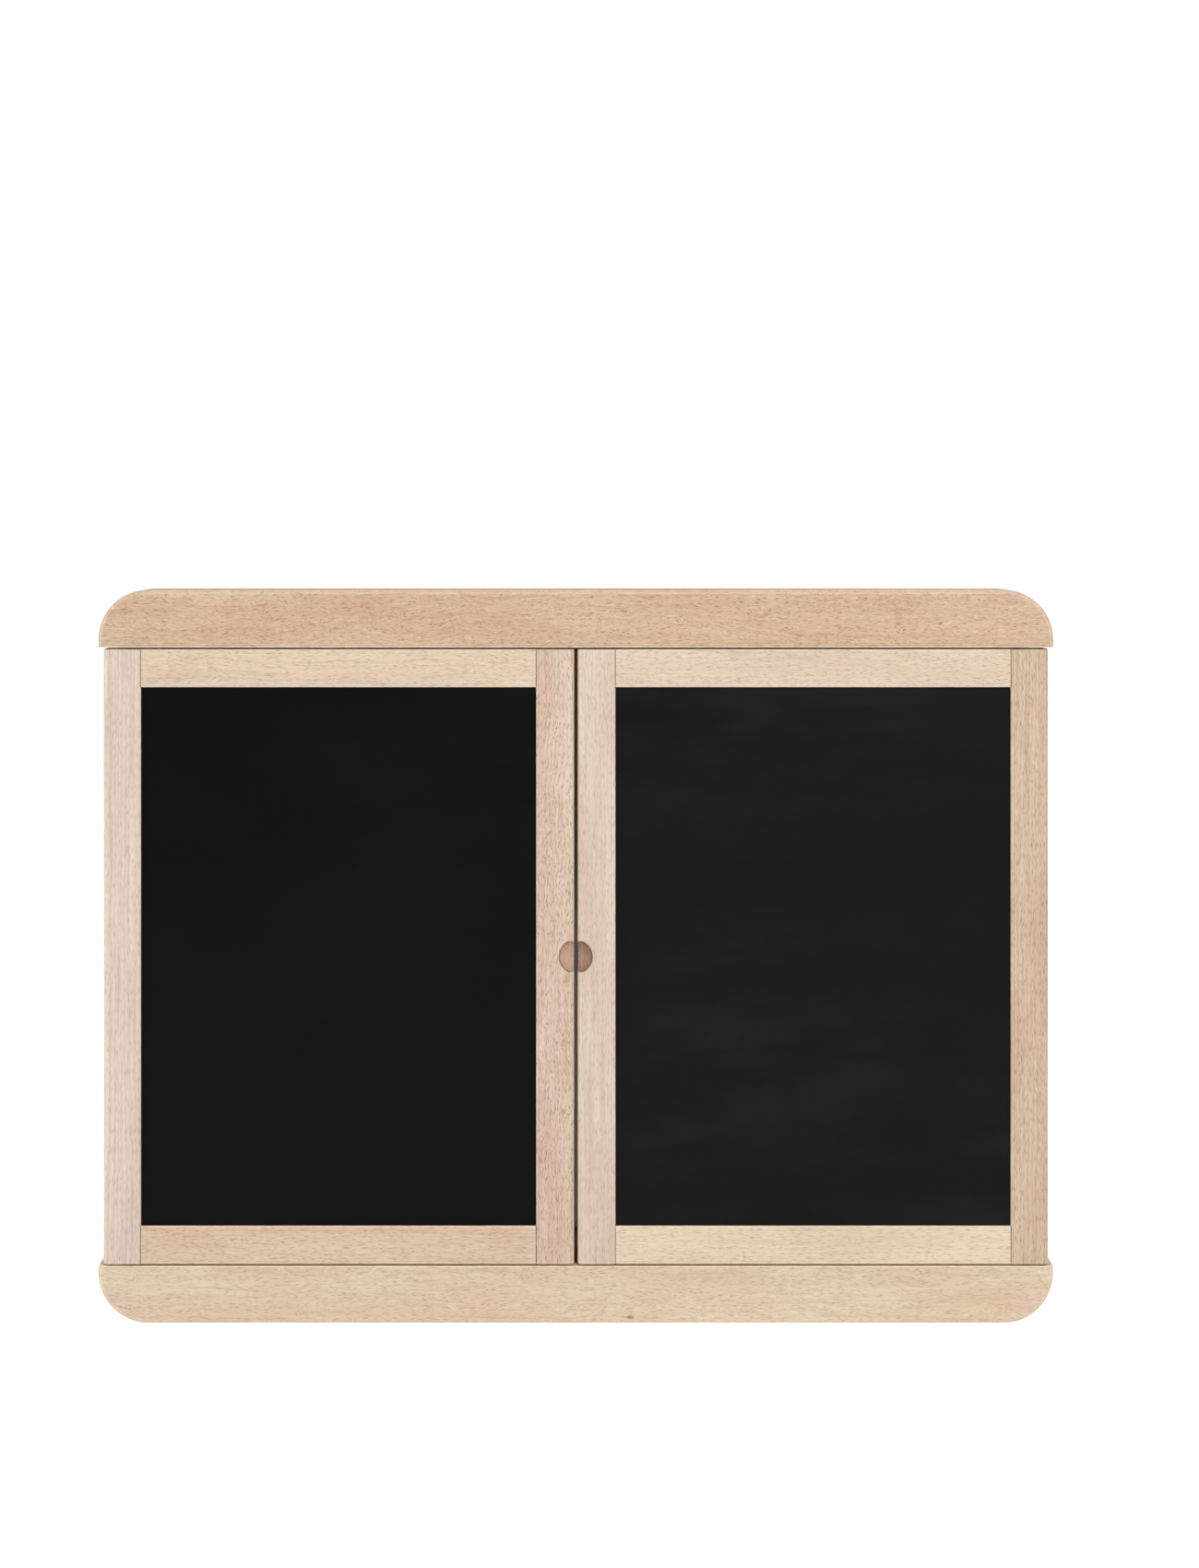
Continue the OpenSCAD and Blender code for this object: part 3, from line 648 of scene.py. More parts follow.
def outer_edges(bm, low, high):
    """The sharp edges that run along two sides of a box, each with the two sides' numbers."""
    found = []
    for e in bm.edges:
        if len(e.link_faces) != 2 or e.calc_face_angle(0) < EDGE_TURN:
            continue
        a, b = on_box(e.verts[0].co, low, high), on_box(e.verts[1].co, low, high)
        shared = tuple(p if p == q else 0 for p, q in zip(a, b))
        if sum(map(abs, shared)) >= 2:
            found.append((e, shared))
    return found


def bevel(bm, edges, width, segments=2):
    """Bevels edges and returns the new faces."""
    if not edges:
        return []
    made = bmesh.ops.bevel(bm, geom=edges, offset=width, offset_type="OFFSET", segments=segments,
                           profile=0.6, affect="EDGES", clamp_overlap=True)
    return made["faces"]


def as_object(bm, name, material):
    """Turns a bmesh into a smooth-shaded object of one material at the origin."""
    mesh = bpy.data.meshes.new(name)
    bm.to_mesh(mesh)
    bm.free()
    mesh.materials.clear()
    mesh.materials.append(material)
    mesh.shade_smooth()
    mesh.set_sharp_from_angle(angle=EDGE_TURN)
    piece = bpy.data.objects.new(name, mesh)
    scene.collection.objects.link(piece)
    shading = piece.modifiers.new("even_shading", "WEIGHTED_NORMAL")
    shading.keep_sharp = True
    return piece


def paint_cuts(bm, along, edge_highlit, dished=lambda face: False, joints_and_rim_shade=(), extra_highlight=lambda face: 0.0,
               shade=lambda point: 1.0):
    """Writes the masks: `cuts` (red end grain, green the painted highlight of eased edges, blue the
    painted shade of the dish) and `joints_and_rim_shade` (dark joint lines, and painted shade round
    the pull's rim).
    """
    bm.faces.index_update()
    edge_highlit, joints_and_rim_shade = {f.index for f in edge_highlit}, {f.index for f in joints_and_rim_shade}
    layer = bm.loops.layers.float_color.new("cuts")  # a new layer makes old face handles void
    lines = bm.loops.layers.float.new("joints_and_rim_shade")
    for face in bm.faces:
        ends = min(1.0, max(0.0, (abs(face.normal[along]) - END_STARTS) / (1 - END_STARTS))) ** 2
        highlight = 1.0 if face.index in edge_highlit else extra_highlight(face)
        hollow = dished(face)
        for loop in face.loops:
            loop[layer] = (ends, highlight, shade(loop.vert.co) if hollow else 0.0, 1.0)
            loop[lines] = float(face.index in joints_and_rim_shade)


GRAIN_X, GRAIN_Y, GRAIN_Z = 0, 1, 2  # the axis along which a grain or a cutter runs
print("open edges eased by", ARRIS / MM, "mm, joints by", JOINT / MM, "mm")

# %% [markdown]
# ## The two rails
# Each rail is one thick bar with two big rounded corners and a soft edge run round its outer side
# by a router bit. That is a rule, so Geometry Nodes build it: the bit's section is drawn once and
# swept round a rounded rectangle, the two flat faces are filled, and the lower half and all the
# joinery are cut away. Both rails come from the same tree; the lower one is turned over.

# %% The rounded rail tree
def tree_with(name, inputs):
    """A Geometry Nodes tree with named inputs; returns the tree, its way in and way out."""
    tree = bpy.data.node_groups.new(name, "GeometryNodeTree")
    tree.interface.new_socket("Geometry", in_out="INPUT", socket_type="NodeSocketGeometry")
    for label, kind, value in inputs:
        socket = tree.interface.new_socket(label, in_out="INPUT", socket_type="NodeSocket" + kind)
        if value is not None:
            socket.default_value = value
    tree.interface.new_socket("Geometry", in_out="OUTPUT", socket_type="NodeSocketGeometry")
    way_in, way_out = tree.nodes.new("NodeGroupInput"), tree.nodes.new("NodeGroupOutput")
    return tree, way_in.outputs, way_out.inputs


rail_tree, bar, finished = tree_with("rounded_rail", [
    ("Length", "Float", 0.58), ("Height", "Float", 0.035), ("Edge Radius", "Float", 0.003),
    ("Depth", "Float", 0.038), ("Corner Radius", "Float", 0.03), ("Corner Steps", "Int", 24),
    ("Middle", "Vector", (0, 0, 0)), ("Router Section", "Object", None),
    ("Joinery", "Object", None), ("Turn", "Vector", (0, 0, 0)), ("Place", "Vector", (0, 0, 0)),
    ("Material", "Material", None)])
t = rail_tree
inset = math_node(t, "MULTIPLY", bar["Edge Radius"], 2.0)
wide = math_node(t, "SUBTRACT", bar["Length"], inset)
tall = math_node(t, "SUBTRACT", math_node(t, "MULTIPLY", bar["Height"], 2.0), inset)
plate = add(t, "GeometryNodeCurvePrimitiveQuadrilateral", {"Width": wide, "Height": tall})
inner_corner = math_node(t, "SUBTRACT", bar["Corner Radius"], bar["Edge Radius"])
outline = add(t, "GeometryNodeFilletCurve", {
    "Curve": plate, "Count": bar["Corner Steps"], "Radius": inner_corner}, mode="POLY")
section = add(t, "GeometryNodeObjectInfo", {"Object": bar["Router Section"]})
section = add(t, "GeometryNodeMeshToCurve", {"Mesh": section.outputs["Geometry"]})
band = add(t, "GeometryNodeCurveToMesh", {"Curve": outline, "Profile Curve": section})
sheet = add(t, "GeometryNodeFillCurve", {"Curve": outline}, mode="NGONS")
half_depth = math_node(t, "MULTIPLY", bar["Depth"], 0.5)
lift = add(t, "ShaderNodeCombineXYZ", {"Z": half_depth})
drop = add(t, "ShaderNodeCombineXYZ", {"Z": math_node(t, "MULTIPLY", half_depth, -1.0)})
upper = add(t, "GeometryNodeTransform", {"Geometry": sheet, "Translation": lift})
lower = add(t, "GeometryNodeTransform", {"Geometry": sheet, "Translation": drop})
lower = add(t, "GeometryNodeFlipFaces", {"Mesh": lower})
shell = add(t, "GeometryNodeJoinGeometry")
for part in (band, upper, lower):
    t.links.new(part.outputs[0], shell.inputs[0])
shell = add(t, "GeometryNodeMergeByDistance", {"Geometry": shell, "Distance": SAME_POINT * 5})
shell = add(t, "GeometryNodeTransform", {
    "Geometry": shell, "Rotation": Euler((math.radians(90), 0, 0)), "Translation": bar["Middle"]})
joinery = add(t, "GeometryNodeObjectInfo", {"Object": bar["Joinery"]})
cut_bar = add(t, "GeometryNodeMeshBoolean", {"Mesh 1": shell, "Self Intersection": True},
              operation="DIFFERENCE", solver="EXACT")
t.links.new(joinery.outputs["Geometry"], cut_bar.inputs["Mesh 2"])
rolled = add(t, "GeometryNodeTransform", {"Geometry": cut_bar, "Rotation": bar["Turn"]})
placed = add(t, "GeometryNodeTransform", {"Geometry": rolled, "Translation": bar["Place"]})
real = add(t, "GeometryNodeRealizeInstances", {"Geometry": placed})
dressed = add(t, "GeometryNodeSetMaterial", {"Geometry": real, "Material": bar["Material"]})
t.links.new(dressed.outputs[0], finished[0])
print("rounded_rail nodes", len(t.nodes))

# %% [markdown]
# The joinery that a rail loses is a set of plain cutters: a bore for every pin, dowel and screw,
# the groove for the centre board, and behind each hanger its recess and the keyhole's pocket.
# Each cutter is a flat outline pushed along one axis, measured from the frame's own solids.

# %% Cutters
WHOLE_RING = 6.28  # radians; a wider sweep closes on itself, so its last point is left off


def ring_of(radius, at=(0, 0), steps=40, start=0.0, sweep=2 * math.pi):
    """Points round a circle or part of one."""
    last = steps if sweep > WHOLE_RING else steps - 1
    return [(at[0] + radius * math.cos(start + sweep * i / last),
             at[1] + radius * math.sin(start + sweep * i / last)) for i in range(steps)]


def rounded_oblong(width, height, radius, at):
    """Points round a rectangle with rounded corners."""
    points = []
    for k, (sx, sy) in enumerate(((1, 1), (-1, 1), (-1, -1), (1, -1))):
        middle = (at[0] + sx * (width / 2 - radius), at[1] + sy * (height / 2 - radius))
        points += ring_of(radius, middle, 8, k * math.pi / 2, math.pi / 2)
    return points


def push(bm, outline, along, start, end):
    """Adds the closed prism that an outline sweeps along one axis."""
    def corner(p, depth):
        return Vector((p[0], depth, p[1])) if along == GRAIN_Y else Vector((p[0], p[1], depth))
    rings = [[bm.verts.new(corner(p, depth)) for p in outline] for depth in (start, end)]
    bm.faces.new(rings[0])
    bm.faces.new(rings[1][::-1])
    for i in range(len(outline)):
        j = (i + 1) % len(outline)
        bm.faces.new((rings[0][i], rings[1][i], rings[1][j], rings[0][j]))


def rectangle(low_x, high_x, low_y, high_y):
    """The four corners of an upright rectangle, counterclockwise."""
    return [(low_x, low_y), (high_x, low_y), (high_x, high_y), (low_x, high_y)]


PAST = 1 * MM       # how far a cutter runs past the face that it opens
RELIEF = 0.5 * MM   # room left at the bottom of a dowel hole or groove


def cutter_object(name, shapes):
    """One mesh of cutters, given as (outline, axis, start, end)."""
    bm = bmesh.new()
    for outline, along, start, end in shapes:
        push(bm, outline, along, start, end)
    bmesh.ops.recalc_face_normals(bm, faces=bm.faces)
    mesh = bpy.data.meshes.new(name)
    bm.to_mesh(mesh)
    bm.free()
    cutter = bpy.data.objects.new(name, mesh)
    scene.collection.objects.link(cutter)
    cutter.hide_render = True
    return cutter


inner_z = {"top": rail_low.z, "bottom": foot_high.z}


def bores(node, relief=0.0):
    """Bores into the top rail for a node's upright solids, in the rail's own heights."""
    shapes = []
    for low, high in solids_of(node):
        if high.z > inner_z["top"] + PAST:
            middle, radius = (low + high) / 2, (high.x - low.x) / 2
            shapes.append((ring_of(radius, (middle.x, middle.y)), GRAIN_Z, -PAST,
                           high.z - inner_z["top"] + relief))
    return shapes


core_low, core_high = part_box("centre_board_core")
sheet_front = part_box("centre_whiteboard")[0].y
FAR = 0.4  # metres, past the board on every side
groove = rectangle(core_low.x - RELIEF, core_high.x + RELIEF, sheet_front, core_high.y)
joinery = [(rectangle(-FAR, FAR, -FAR, FAR), GRAIN_Z, -FAR, 0.0),
           (groove, GRAIN_Z, -PAST, core_high.z - inner_z["top"] + RELIEF)]
joinery += bores("pivot_pins") + bores("frame_dowels", RELIEF) + bores("stop_block_screws")
print("cutters shared by both rails", len(joinery))

# %% [markdown]
# Each wall hanger lies flush in a shallow recess. Behind its keyhole the wood is cut deeper, in the
# same keyhole shape but wider, so that the head of the wall's screw can enter and slide up.

# %% Hanger recess
hanger_low, hanger_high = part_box("wall_hanger_right")
plate_t = hanger_high.y - hanger_low.y
hanger_mid = (hanger_low + hanger_high) / 2
hanger_size = hanger_high - hanger_low
RISE = 8 * MM                            # from the keyhole's entry up to the slot's end
POCKET_R, POCKET_DEEP = 6 * MM, 9 * MM   # room for a screw head behind it
HANGER_CORNER = 4 * MM
HEAD_R, SHANK_R = 2.8 * MM, 1.5 * MM     # the wood screws' head and shank


def keyhole(entry_r, slot_r, at):
    """Points round a keyhole: a round entry with a slot above it."""
    low, high = (at[0], at[1] - RISE / 2), (at[0], at[1] + RISE / 2)
    open_angle = math.asin(min(1, slot_r / entry_r))
    start = math.pi / 2 + open_angle
    entry = ring_of(entry_r, low, 33, start, 2 * math.pi - 2 * open_angle - 1e-9)
    return entry + ring_of(slot_r, high, 17, 0.0, math.pi)


back_y = rail_high.y
hangings = []
for side in (-1, 1):
    at = (side * hanger_mid.x, hanger_mid.z - inner_z["top"])
    recess = rounded_oblong(hanger_size.x, hanger_size.z, HANGER_CORNER, at)
    hangings.append((recess, GRAIN_Y, back_y - plate_t, back_y + PAST))
    hangings.append((keyhole(POCKET_R, POCKET_R, at), GRAIN_Y, back_y - plate_t - POCKET_DEEP,
                     back_y + PAST))
for low, high in solids_of("hanger_screws"):
    middle = (low + high) / 2
    hangings.append((ring_of(SHANK_R, (middle.x, middle.z - inner_z["top"])), GRAIN_Y, low.y,
                     back_y + PAST))
print("hanger cutters", len(hangings), "plate", round(plate_t / MM, 2), "mm")

# %% [markdown]
# The router section is half of a slot with rounded ends: a quarter circle, a straight, and a
# quarter circle. After the tree has run, the mesh is made plain, its inner edges are eased where
# they face the doors, and the lower rail is simply the same bar turned over.

# %% Both rails
EDGE_R, CORNER_R = 3 * MM, 30 * MM
rail_size = rail_high - rail_low
rail_mid_y = (rail_low.y + rail_high.y) / 2


def router_section(depth, radius, steps=8):
    """The open section that the router leaves, from one flat face to the other."""
    run = depth / 2 - radius
    points = [(radius * math.sin(a), -run - radius * math.cos(a)) for a in
              (math.pi / 2 * i / steps for i in range(steps + 1))]
    points += [(x, -y) for x, y in reversed(points)]
    mesh = bpy.data.meshes.new("router_section")
    steps_on = [(i, i + 1) for i in range(len(points) - 1)]
    mesh.from_pydata([(x, y, 0) for x, y in points], steps_on, [])
    section = bpy.data.objects.new("router_section", mesh)
    scene.collection.objects.link(section)
    section.hide_render = True
    return section


def run_tree(tree, host_mesh, name, values):
    """Runs a tree on a host mesh and returns the result as a plain mesh."""
    host = bpy.data.objects.new(name, host_mesh)
    scene.collection.objects.link(host)
    step = host.modifiers.new(tree.name, "NODES")
    step.node_group = tree
    names = {s.name: s.identifier for s in tree.interface.items_tree if s.in_out == "INPUT"}
    for label, value in values.items():
        step[names[label]] = value
    bpy.context.view_layer.update()
    ready = host.evaluated_get(bpy.context.evaluated_depsgraph_get())
    result = bpy.data.meshes.new_from_object(ready)
    bpy.data.objects.remove(host)
    return result


section = router_section(rail_size.y, EDGE_R)
ROUTED_HIGHLIGHT = 0.4             # how much paler the routed edge's painted highlight is, of a full one
HIGHLIGHT_TURN = (0.5, 0.985)   # between these, a face belongs to the routed edge


def rounded_rail(name, cutters, turn, height, material):
    """Runs the rail tree, eases the edges that face the doors, and marks their painted highlights."""
    cutter = cutter_object(name + "_cutters", cutters)
    mesh = run_tree(rail_tree, bpy.data.meshes.new(name), name + "_host", {
        "Length": rail_size.x, "Height": rail_size.z, "Depth": rail_size.y,
        "Edge Radius": EDGE_R, "Corner Radius": CORNER_R, "Corner Steps": 24,
        "Middle": (0, rail_mid_y, 0), "Router Section": section, "Joinery": cutter,
        "Turn": turn, "Place": (0, 0, height), "Material": material})
    bpy.data.objects.remove(cutter)
    bm = bmesh.new()
    bm.from_mesh(mesh)
    bmesh.ops.remove_doubles(bm, verts=bm.verts, dist=SAME_POINT)
    bmesh.ops.recalc_face_normals(bm, faces=bm.faces)
    rim = rail_size.x / 2 - EDGE_R - PAST
    inner = [e for e in bm.edges if len(e.link_faces) == 2 and e.calc_face_angle(0) > EDGE_TURN
             and all(abs(v.co.z - height) < SAME_POINT * 5 for v in e.verts)
             and (all(abs(abs(v.co.y - rail_mid_y) - rail_size.y / 2) < SAME_POINT * 10
                      for v in e.verts)
                  or all(abs(v.co.x) > rim for v in e.verts))]
    # The eased inner edges carry a painted highlight.
    edge_highlit = [f for f in bevel(bm, inner, ARRIS) if f.is_valid]

    def extra_highlight(face):
        """The routed edge gets a painted highlight, a little paler than the flat, for the light it
        catches.
        """
        return ROUTED_HIGHLIGHT if HIGHLIGHT_TURN[0] < abs(face.normal.y) < HIGHLIGHT_TURN[1] else 0.0
    paint_cuts(bm, GRAIN_X, edge_highlit, extra_highlight=extra_highlight)
    loose = sum(not e.is_manifold for e in bm.edges)
    print(name, "faces", len(bm.faces), "open edges", loose, "volume",
          round(bm.calc_volume() * 1e6, 1), "cm3")
    return as_object(bm, name, material)


half_turn = (0, math.pi, 0)
top_rail = rounded_rail("top_rail_rounded", joinery + hangings, (0, 0, 0), inner_z["top"],
                        BEECHES["top_rail"])
bottom_rail = rounded_rail("bottom_rail_rounded", joinery, half_turn, inner_z["bottom"],
                           BEECHES["bottom_rail"])
bpy.data.objects.remove(section)

# %% [markdown]
# ## Uprights and door rails
# The straight members are copied from the frame and eased. The finger pull is a shallow dish
# shared by the two inner stiles; its faces all lie on one sphere, which is how they are found.

# %% Straight members
PULL_R, PULL_DEEP = 10 * MM, 6 * MM
# The dish's darker tone is painted shade, strongest at its rim and weakest in its middle.
DISH_HEART = 0.55   # how dark the middle of the dish is beside its rim
ball_r = (PULL_R ** 2 + PULL_DEEP ** 2) / (2 * PULL_DEEP)
ball = Vector((0, door_low.y + PULL_DEEP - ball_r, middle_z))


def in_dish(face):
    """Whether all of a face's corners lie on the dish's sphere."""
    return all(abs((v.co - ball).length - ball_r) < 0.05 * MM for v in face.verts)


def dish_shade(point):
    """Painted shade in the dish, deepest towards its outer rim: 1 there, DISH_HEART in the middle."""
    out = min(1.0, math.hypot(point.x, point.z - middle_z) / PULL_R)
    return DISH_HEART + (1 - DISH_HEART) * out ** 2


def slice_at(bm, heights):
    """Adds a level cut line round an upright at each height."""
    for z in heights:
        parts = bm.verts[:] + bm.edges[:] + bm.faces[:]
        bmesh.ops.bisect_plane(bm, geom=parts, plane_co=(0, 0, z), plane_no=(0, 0, 1))


def member(node, along, material, is_joint=lambda sides, middle: False, cuts=()):
    """An eased copy of a frame node. is_joint says which outer edges butt on another member."""
    low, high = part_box(node)
    bm = merged_copy(node)
    joint_and_rim_shade = bm.faces.layers.int.new("joint_and_rim_shade")
    slice_at(bm, cuts)

    def pick(wanted):
        return [e for e, sides in outer_edges(bm, low, high)
                if is_joint(sides, (e.verts[0].co + e.verts[1].co) / 2) == wanted]
    joints = pick(True)
    dished = in_dish if node.endswith("inner_stile") else (lambda face: False)
    # The rim's bevel joins the joints' bevels in one dark-line mask: a real dark line at a joint,
    # painted shade round the finger pull's rim.
    rim = [e for e in bm.edges if sorted(map(dished, e.link_faces)) == [False, True]
           and all(abs(v.co.y - low.y) < SAME_POINT * 5 for v in e.verts)]
    for face in bevel(bm, joints, JOINT, 1) + bevel(bm, rim, RIM, 1):
        face[joint_and_rim_shade] = 1
    arrises = [e for e in pick(False) if e.calc_length() > ARRIS]
    # The eased arrises carry a painted highlight.
    edge_highlit = {f for f in bevel(bm, arrises, ARRIS) if f.is_valid}
    joints_and_rim_shade = {f for f in bm.faces if f[joint_and_rim_shade] and f not in edge_highlit}
    paint_cuts(bm, along, edge_highlit, dished, joints_and_rim_shade, shade=dish_shade)
    bm.faces.layers.int.remove(bm.faces.layers.int["joint_and_rim_shade"])
    print(node, "edges eased", len(arrises), "joint edges", len(joints), "faces", len(bm.faces))
    return as_object(bm, node + "_planed", material)


panel_low, panel_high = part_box("right_chalkboard")
panel_x = (panel_low.x + panel_high.x) / 2
opening = (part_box("left_door_bottom_rail")[1].z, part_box("left_door_top_rail")[0].z)
print("opening between the door rails", [round(z / MM, 1) for z in opening])


def beside_rails(sides, middle):
    """An upright's long inner edge is a joint where it runs past the ends of the door rails."""
    to_panel = math.copysign(panel_x, middle.x) - middle.x
    return (sides[0] * to_panel > 0 and sides[1] != 0
            and not opening[0] < middle.z < opening[1])


def rail_ends(sides, middle):
    """A door rail's two ends butt against the uprights."""
    return sides[0] != 0


def upright_ends(sides, middle):
    """A back upright's two ends butt against the rails."""
    return sides[2] != 0


members = {}
for side in ("left", "right"):
    for stile in ("outer_stile", "inner_stile"):
        node = f"{side}_{stile}"
        members[node] = member(node, GRAIN_Z, BEECHES[node], beside_rails, opening)
    for rail in ("door_top_rail", "door_bottom_rail"):
        node = f"{side}_{rail}"
        members[node] = member(node, GRAIN_X, BEECHES[node], rail_ends)
    node = f"back_stile_{side}"
    members[node] = member(node, GRAIN_Z, BEECHES["back_frame"], upright_ends)
for node in ("top_stop_block", "bottom_stop_block"):
    members[node] = member(node, GRAIN_X, BEECHES["stop_blocks"])

# %% [markdown]
# ## Sheets
# The chalkboards, the whiteboards and the fibreboard cores are cut sheets. Sawn or sheared edges
# are never knife-sharp, so each gets a hairline bevel that catches the light.

# %% Sheets
SHEET_EDGE = {"chalkboard": 0.3 * MM, "whiteboard": 0.1 * MM, "core": 0.25 * MM}


def cut_sheet(node, width, material):
    """A copy of a sheet from the frame with its outer edges taken off by a width."""
    low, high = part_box(node)
    bm = merged_copy(node)
    bevel(bm, [e for e, _ in outer_edges(bm, low, high)], width)
    print(node, "faces", len(bm.faces), "size", [round(c / MM, 1) for c in high - low])
    return as_object(bm, node + "_cut", material)


sheet_plan = [("centre_whiteboard", white_lacquer), ("centre_board_core", fibreboard)]
for side in ("left", "right"):
    sheet_plan += [(f"{side}_chalkboard", CHALKBOARDS[side]),
                   (f"{side}_whiteboard", white_lacquer), (f"{side}_panel_core", fibreboard)]
sheets = {node: cut_sheet(node, SHEET_EDGE[node.split("_")[-1]], material)
          for node, material in sheet_plan}

# %% [markdown]
# ## Turned fittings
# Pins, bushes, washers, magnets, plates, bumpers and dowels are all turned on a lathe. `turned`
# spins a section whose corners have been softened. Dowels also get the glue flutes that real
# ones have.

# %% The lathe
JUST_OVER_TWO = 2.01  # so that the arcs at a side's two ends never meet


def softened(points, radius, closed=False, steps=3):
    """Replaces each corner of a section with a short arc-like curve."""
    out = []
    for i, p in enumerate(points):
        if not closed and i in (0, len(points) - 1):
            out.append(p)
            continue
        here = Vector(p)
        a, b = (here + (Vector(q) - here).normalized()
                * min(radius, (Vector(q) - here).length / JUST_OVER_TWO)
                for q in (points[i - 1], points[(i + 1) % len(points)]))
        for k in range(steps + 1):
            s = k / steps
            out.append(tuple(a * (1 - s) ** 2 + here * 2 * s * (1 - s) + b * s ** 2))
    return out


def turned(name, points, closed=False, steps=48, flutes=0, flute=0.0):
    """Spins a section of (radius, height) points round Z into a closed mesh."""
    bm = bmesh.new()
    rings = []
    for radius, z in points:
        if radius < SAME_POINT:
            rings.append([bm.verts.new((0, 0, z))] * steps)
            continue
        ring = []
        for i in range(steps):
            a = 2 * math.pi * i / steps
            r = radius - (flute * max(0.0, math.cos(flutes * a)) ** 4 if flutes else 0.0)
            ring.append(bm.verts.new((r * math.cos(a), r * math.sin(a), z)))
        rings.append(ring)
    pairs = list(zip(rings, rings[1:])) + ([(rings[-1], rings[0])] if closed else [])
    for one, two in pairs:
        for i in range(steps):
            j = (i + 1) % steps
            corners = list(dict.fromkeys((one[i], one[j], two[j], two[i])))
            if len(corners) > 2:
                bm.faces.new(corners)
    bmesh.ops.recalc_face_normals(bm, faces=bm.faces)
    mesh = bpy.data.meshes.new(name)
    bm.to_mesh(mesh)
    bm.free()
    pattern = bpy.data.objects.new(name, mesh)
    scene.collection.objects.link(pattern)
    pattern.hide_render = True
    return pattern


def rod_section(radius, length, soft):
    """The section of a plain rod, from one end's middle to the other's."""
    half = length / 2
    return softened([(0, -half), (radius, -half), (radius, half), (0, half)], soft)


def tube_section(radius, bore, length, soft):
    """The closed section of a tube's wall."""
    half = length / 2
    return softened([(bore, -half), (radius, -half), (radius, half), (bore, half)], soft, True)


print("a softened rod section has", len(rod_section(0.004, 0.003, 0.0003)), "points")

# %% [markdown]
# ## Setting out the fittings
# The same fitting repeats at several places, so Geometry Nodes put it there: one point for each
# place, carrying the direction that it faces and how far it is spun, a copy of the fitting on
# each, and all of them made real. Screws stop at odd angles, so they get a seeded random spin.

# %% The setting-out tree
fit_tree, spot_in, fitted = tree_with("set_out_fittings", [
    ("Fitting", "Object", None), ("Spin Range", "Float", 0.0), ("Seed", "Int", 7),
    ("Material", "Material", None)])
t = fit_tree
facing = add(t, "GeometryNodeInputNamedAttribute", data_type="FLOAT_VECTOR")
facing.inputs["Name"].default_value = "facing"
aim = add(t, "FunctionNodeAlignRotationToVector", {"Vector": facing.outputs[0]}, axis="Z")
spin = add(t, "FunctionNodeRandomValue", {"Seed": spot_in["Seed"]}, data_type="FLOAT")
for socket in spin.inputs:
    if socket.name == "Max" and socket.type == "VALUE" and socket.enabled:
        t.links.new(spot_in["Spin Range"], socket)
spin_value = next(s for s in spin.outputs if s.enabled)
about = add(t, "FunctionNodeAxisAngleToRotation", {"Axis": (0, 0, 1), "Angle": spin_value})
whole = add(t, "FunctionNodeRotateRotation", {0: aim, 1: about}, rotation_space="LOCAL")
fitting = add(t, "GeometryNodeObjectInfo", {"Object": spot_in["Fitting"]})
copies = add(t, "GeometryNodeInstanceOnPoints", {
    "Points": spot_in["Geometry"], "Instance": fitting.outputs["Geometry"], "Rotation": whole})
real = add(t, "GeometryNodeRealizeInstances", {"Geometry": copies})
dressed = add(t, "GeometryNodeSetMaterial", {"Geometry": real, "Material": spot_in["Material"]})
t.links.new(dressed.outputs[0], fitted[0])


def set_out(name, pattern, places, material, along=None, spin=0.0, seed=7):
    """Copies a fitting to (point, direction) places as one object; along marks end grain."""
    mesh = bpy.data.meshes.new(name + "_places")
    mesh.from_pydata([p for p, _ in places], [], [])
    facing = mesh.attributes.new("facing", "FLOAT_VECTOR", "POINT")
    facing.data.foreach_set("vector", [c for _, d in places for c in d])
    made = run_tree(fit_tree, mesh, name + "_host", {
        "Fitting": pattern, "Spin Range": spin, "Seed": seed, "Material": material})
    bm = bmesh.new()
    bm.from_mesh(made)
    if along is not None:
        paint_cuts(bm, along, [])
    print(name, "copies", len(places), "faces", len(bm.faces))
    return as_object(bm, name, material)


def middles(node, direction):
    """The middle of each solid of a node, with one direction for all."""
    return [((low + high) / 2, direction) for low, high in solids_of(node)]


UP, ASIDE, BACK = Vector((0, 0, 1)), Vector((1, 0, 0)), Vector((0, 1, 0))
SIDE_DOWN = Vector((0, 0, -1))
print("set_out_fittings nodes", len(t.nodes))

# %% [markdown]
# Every fitting's size and place is read from the frame. Pins, washers, bushes and dowels stand
# upright, the door dowels lie along the rails, magnets face forward, and bumpers and strike plates
# face back. A bush leaves a hair's breadth round its pin, so that the door runs freely.

# %% Turned pieces in place
fittings = {}
patterns = []


def size_of(node):
    """The size of a node's first solid. All of its solids are alike."""
    low, high = solids_of(node)[0]
    return high - low


def fit(node, section, places, material, closed=False, along=None, **shape):
    """Turns one fitting and sets it out at all of its node's places."""
    pattern = turned(node + "_pattern", section, closed, **shape)
    patterns.append(pattern)
    fittings[node] = set_out(node + "_set", pattern, places, material, along)


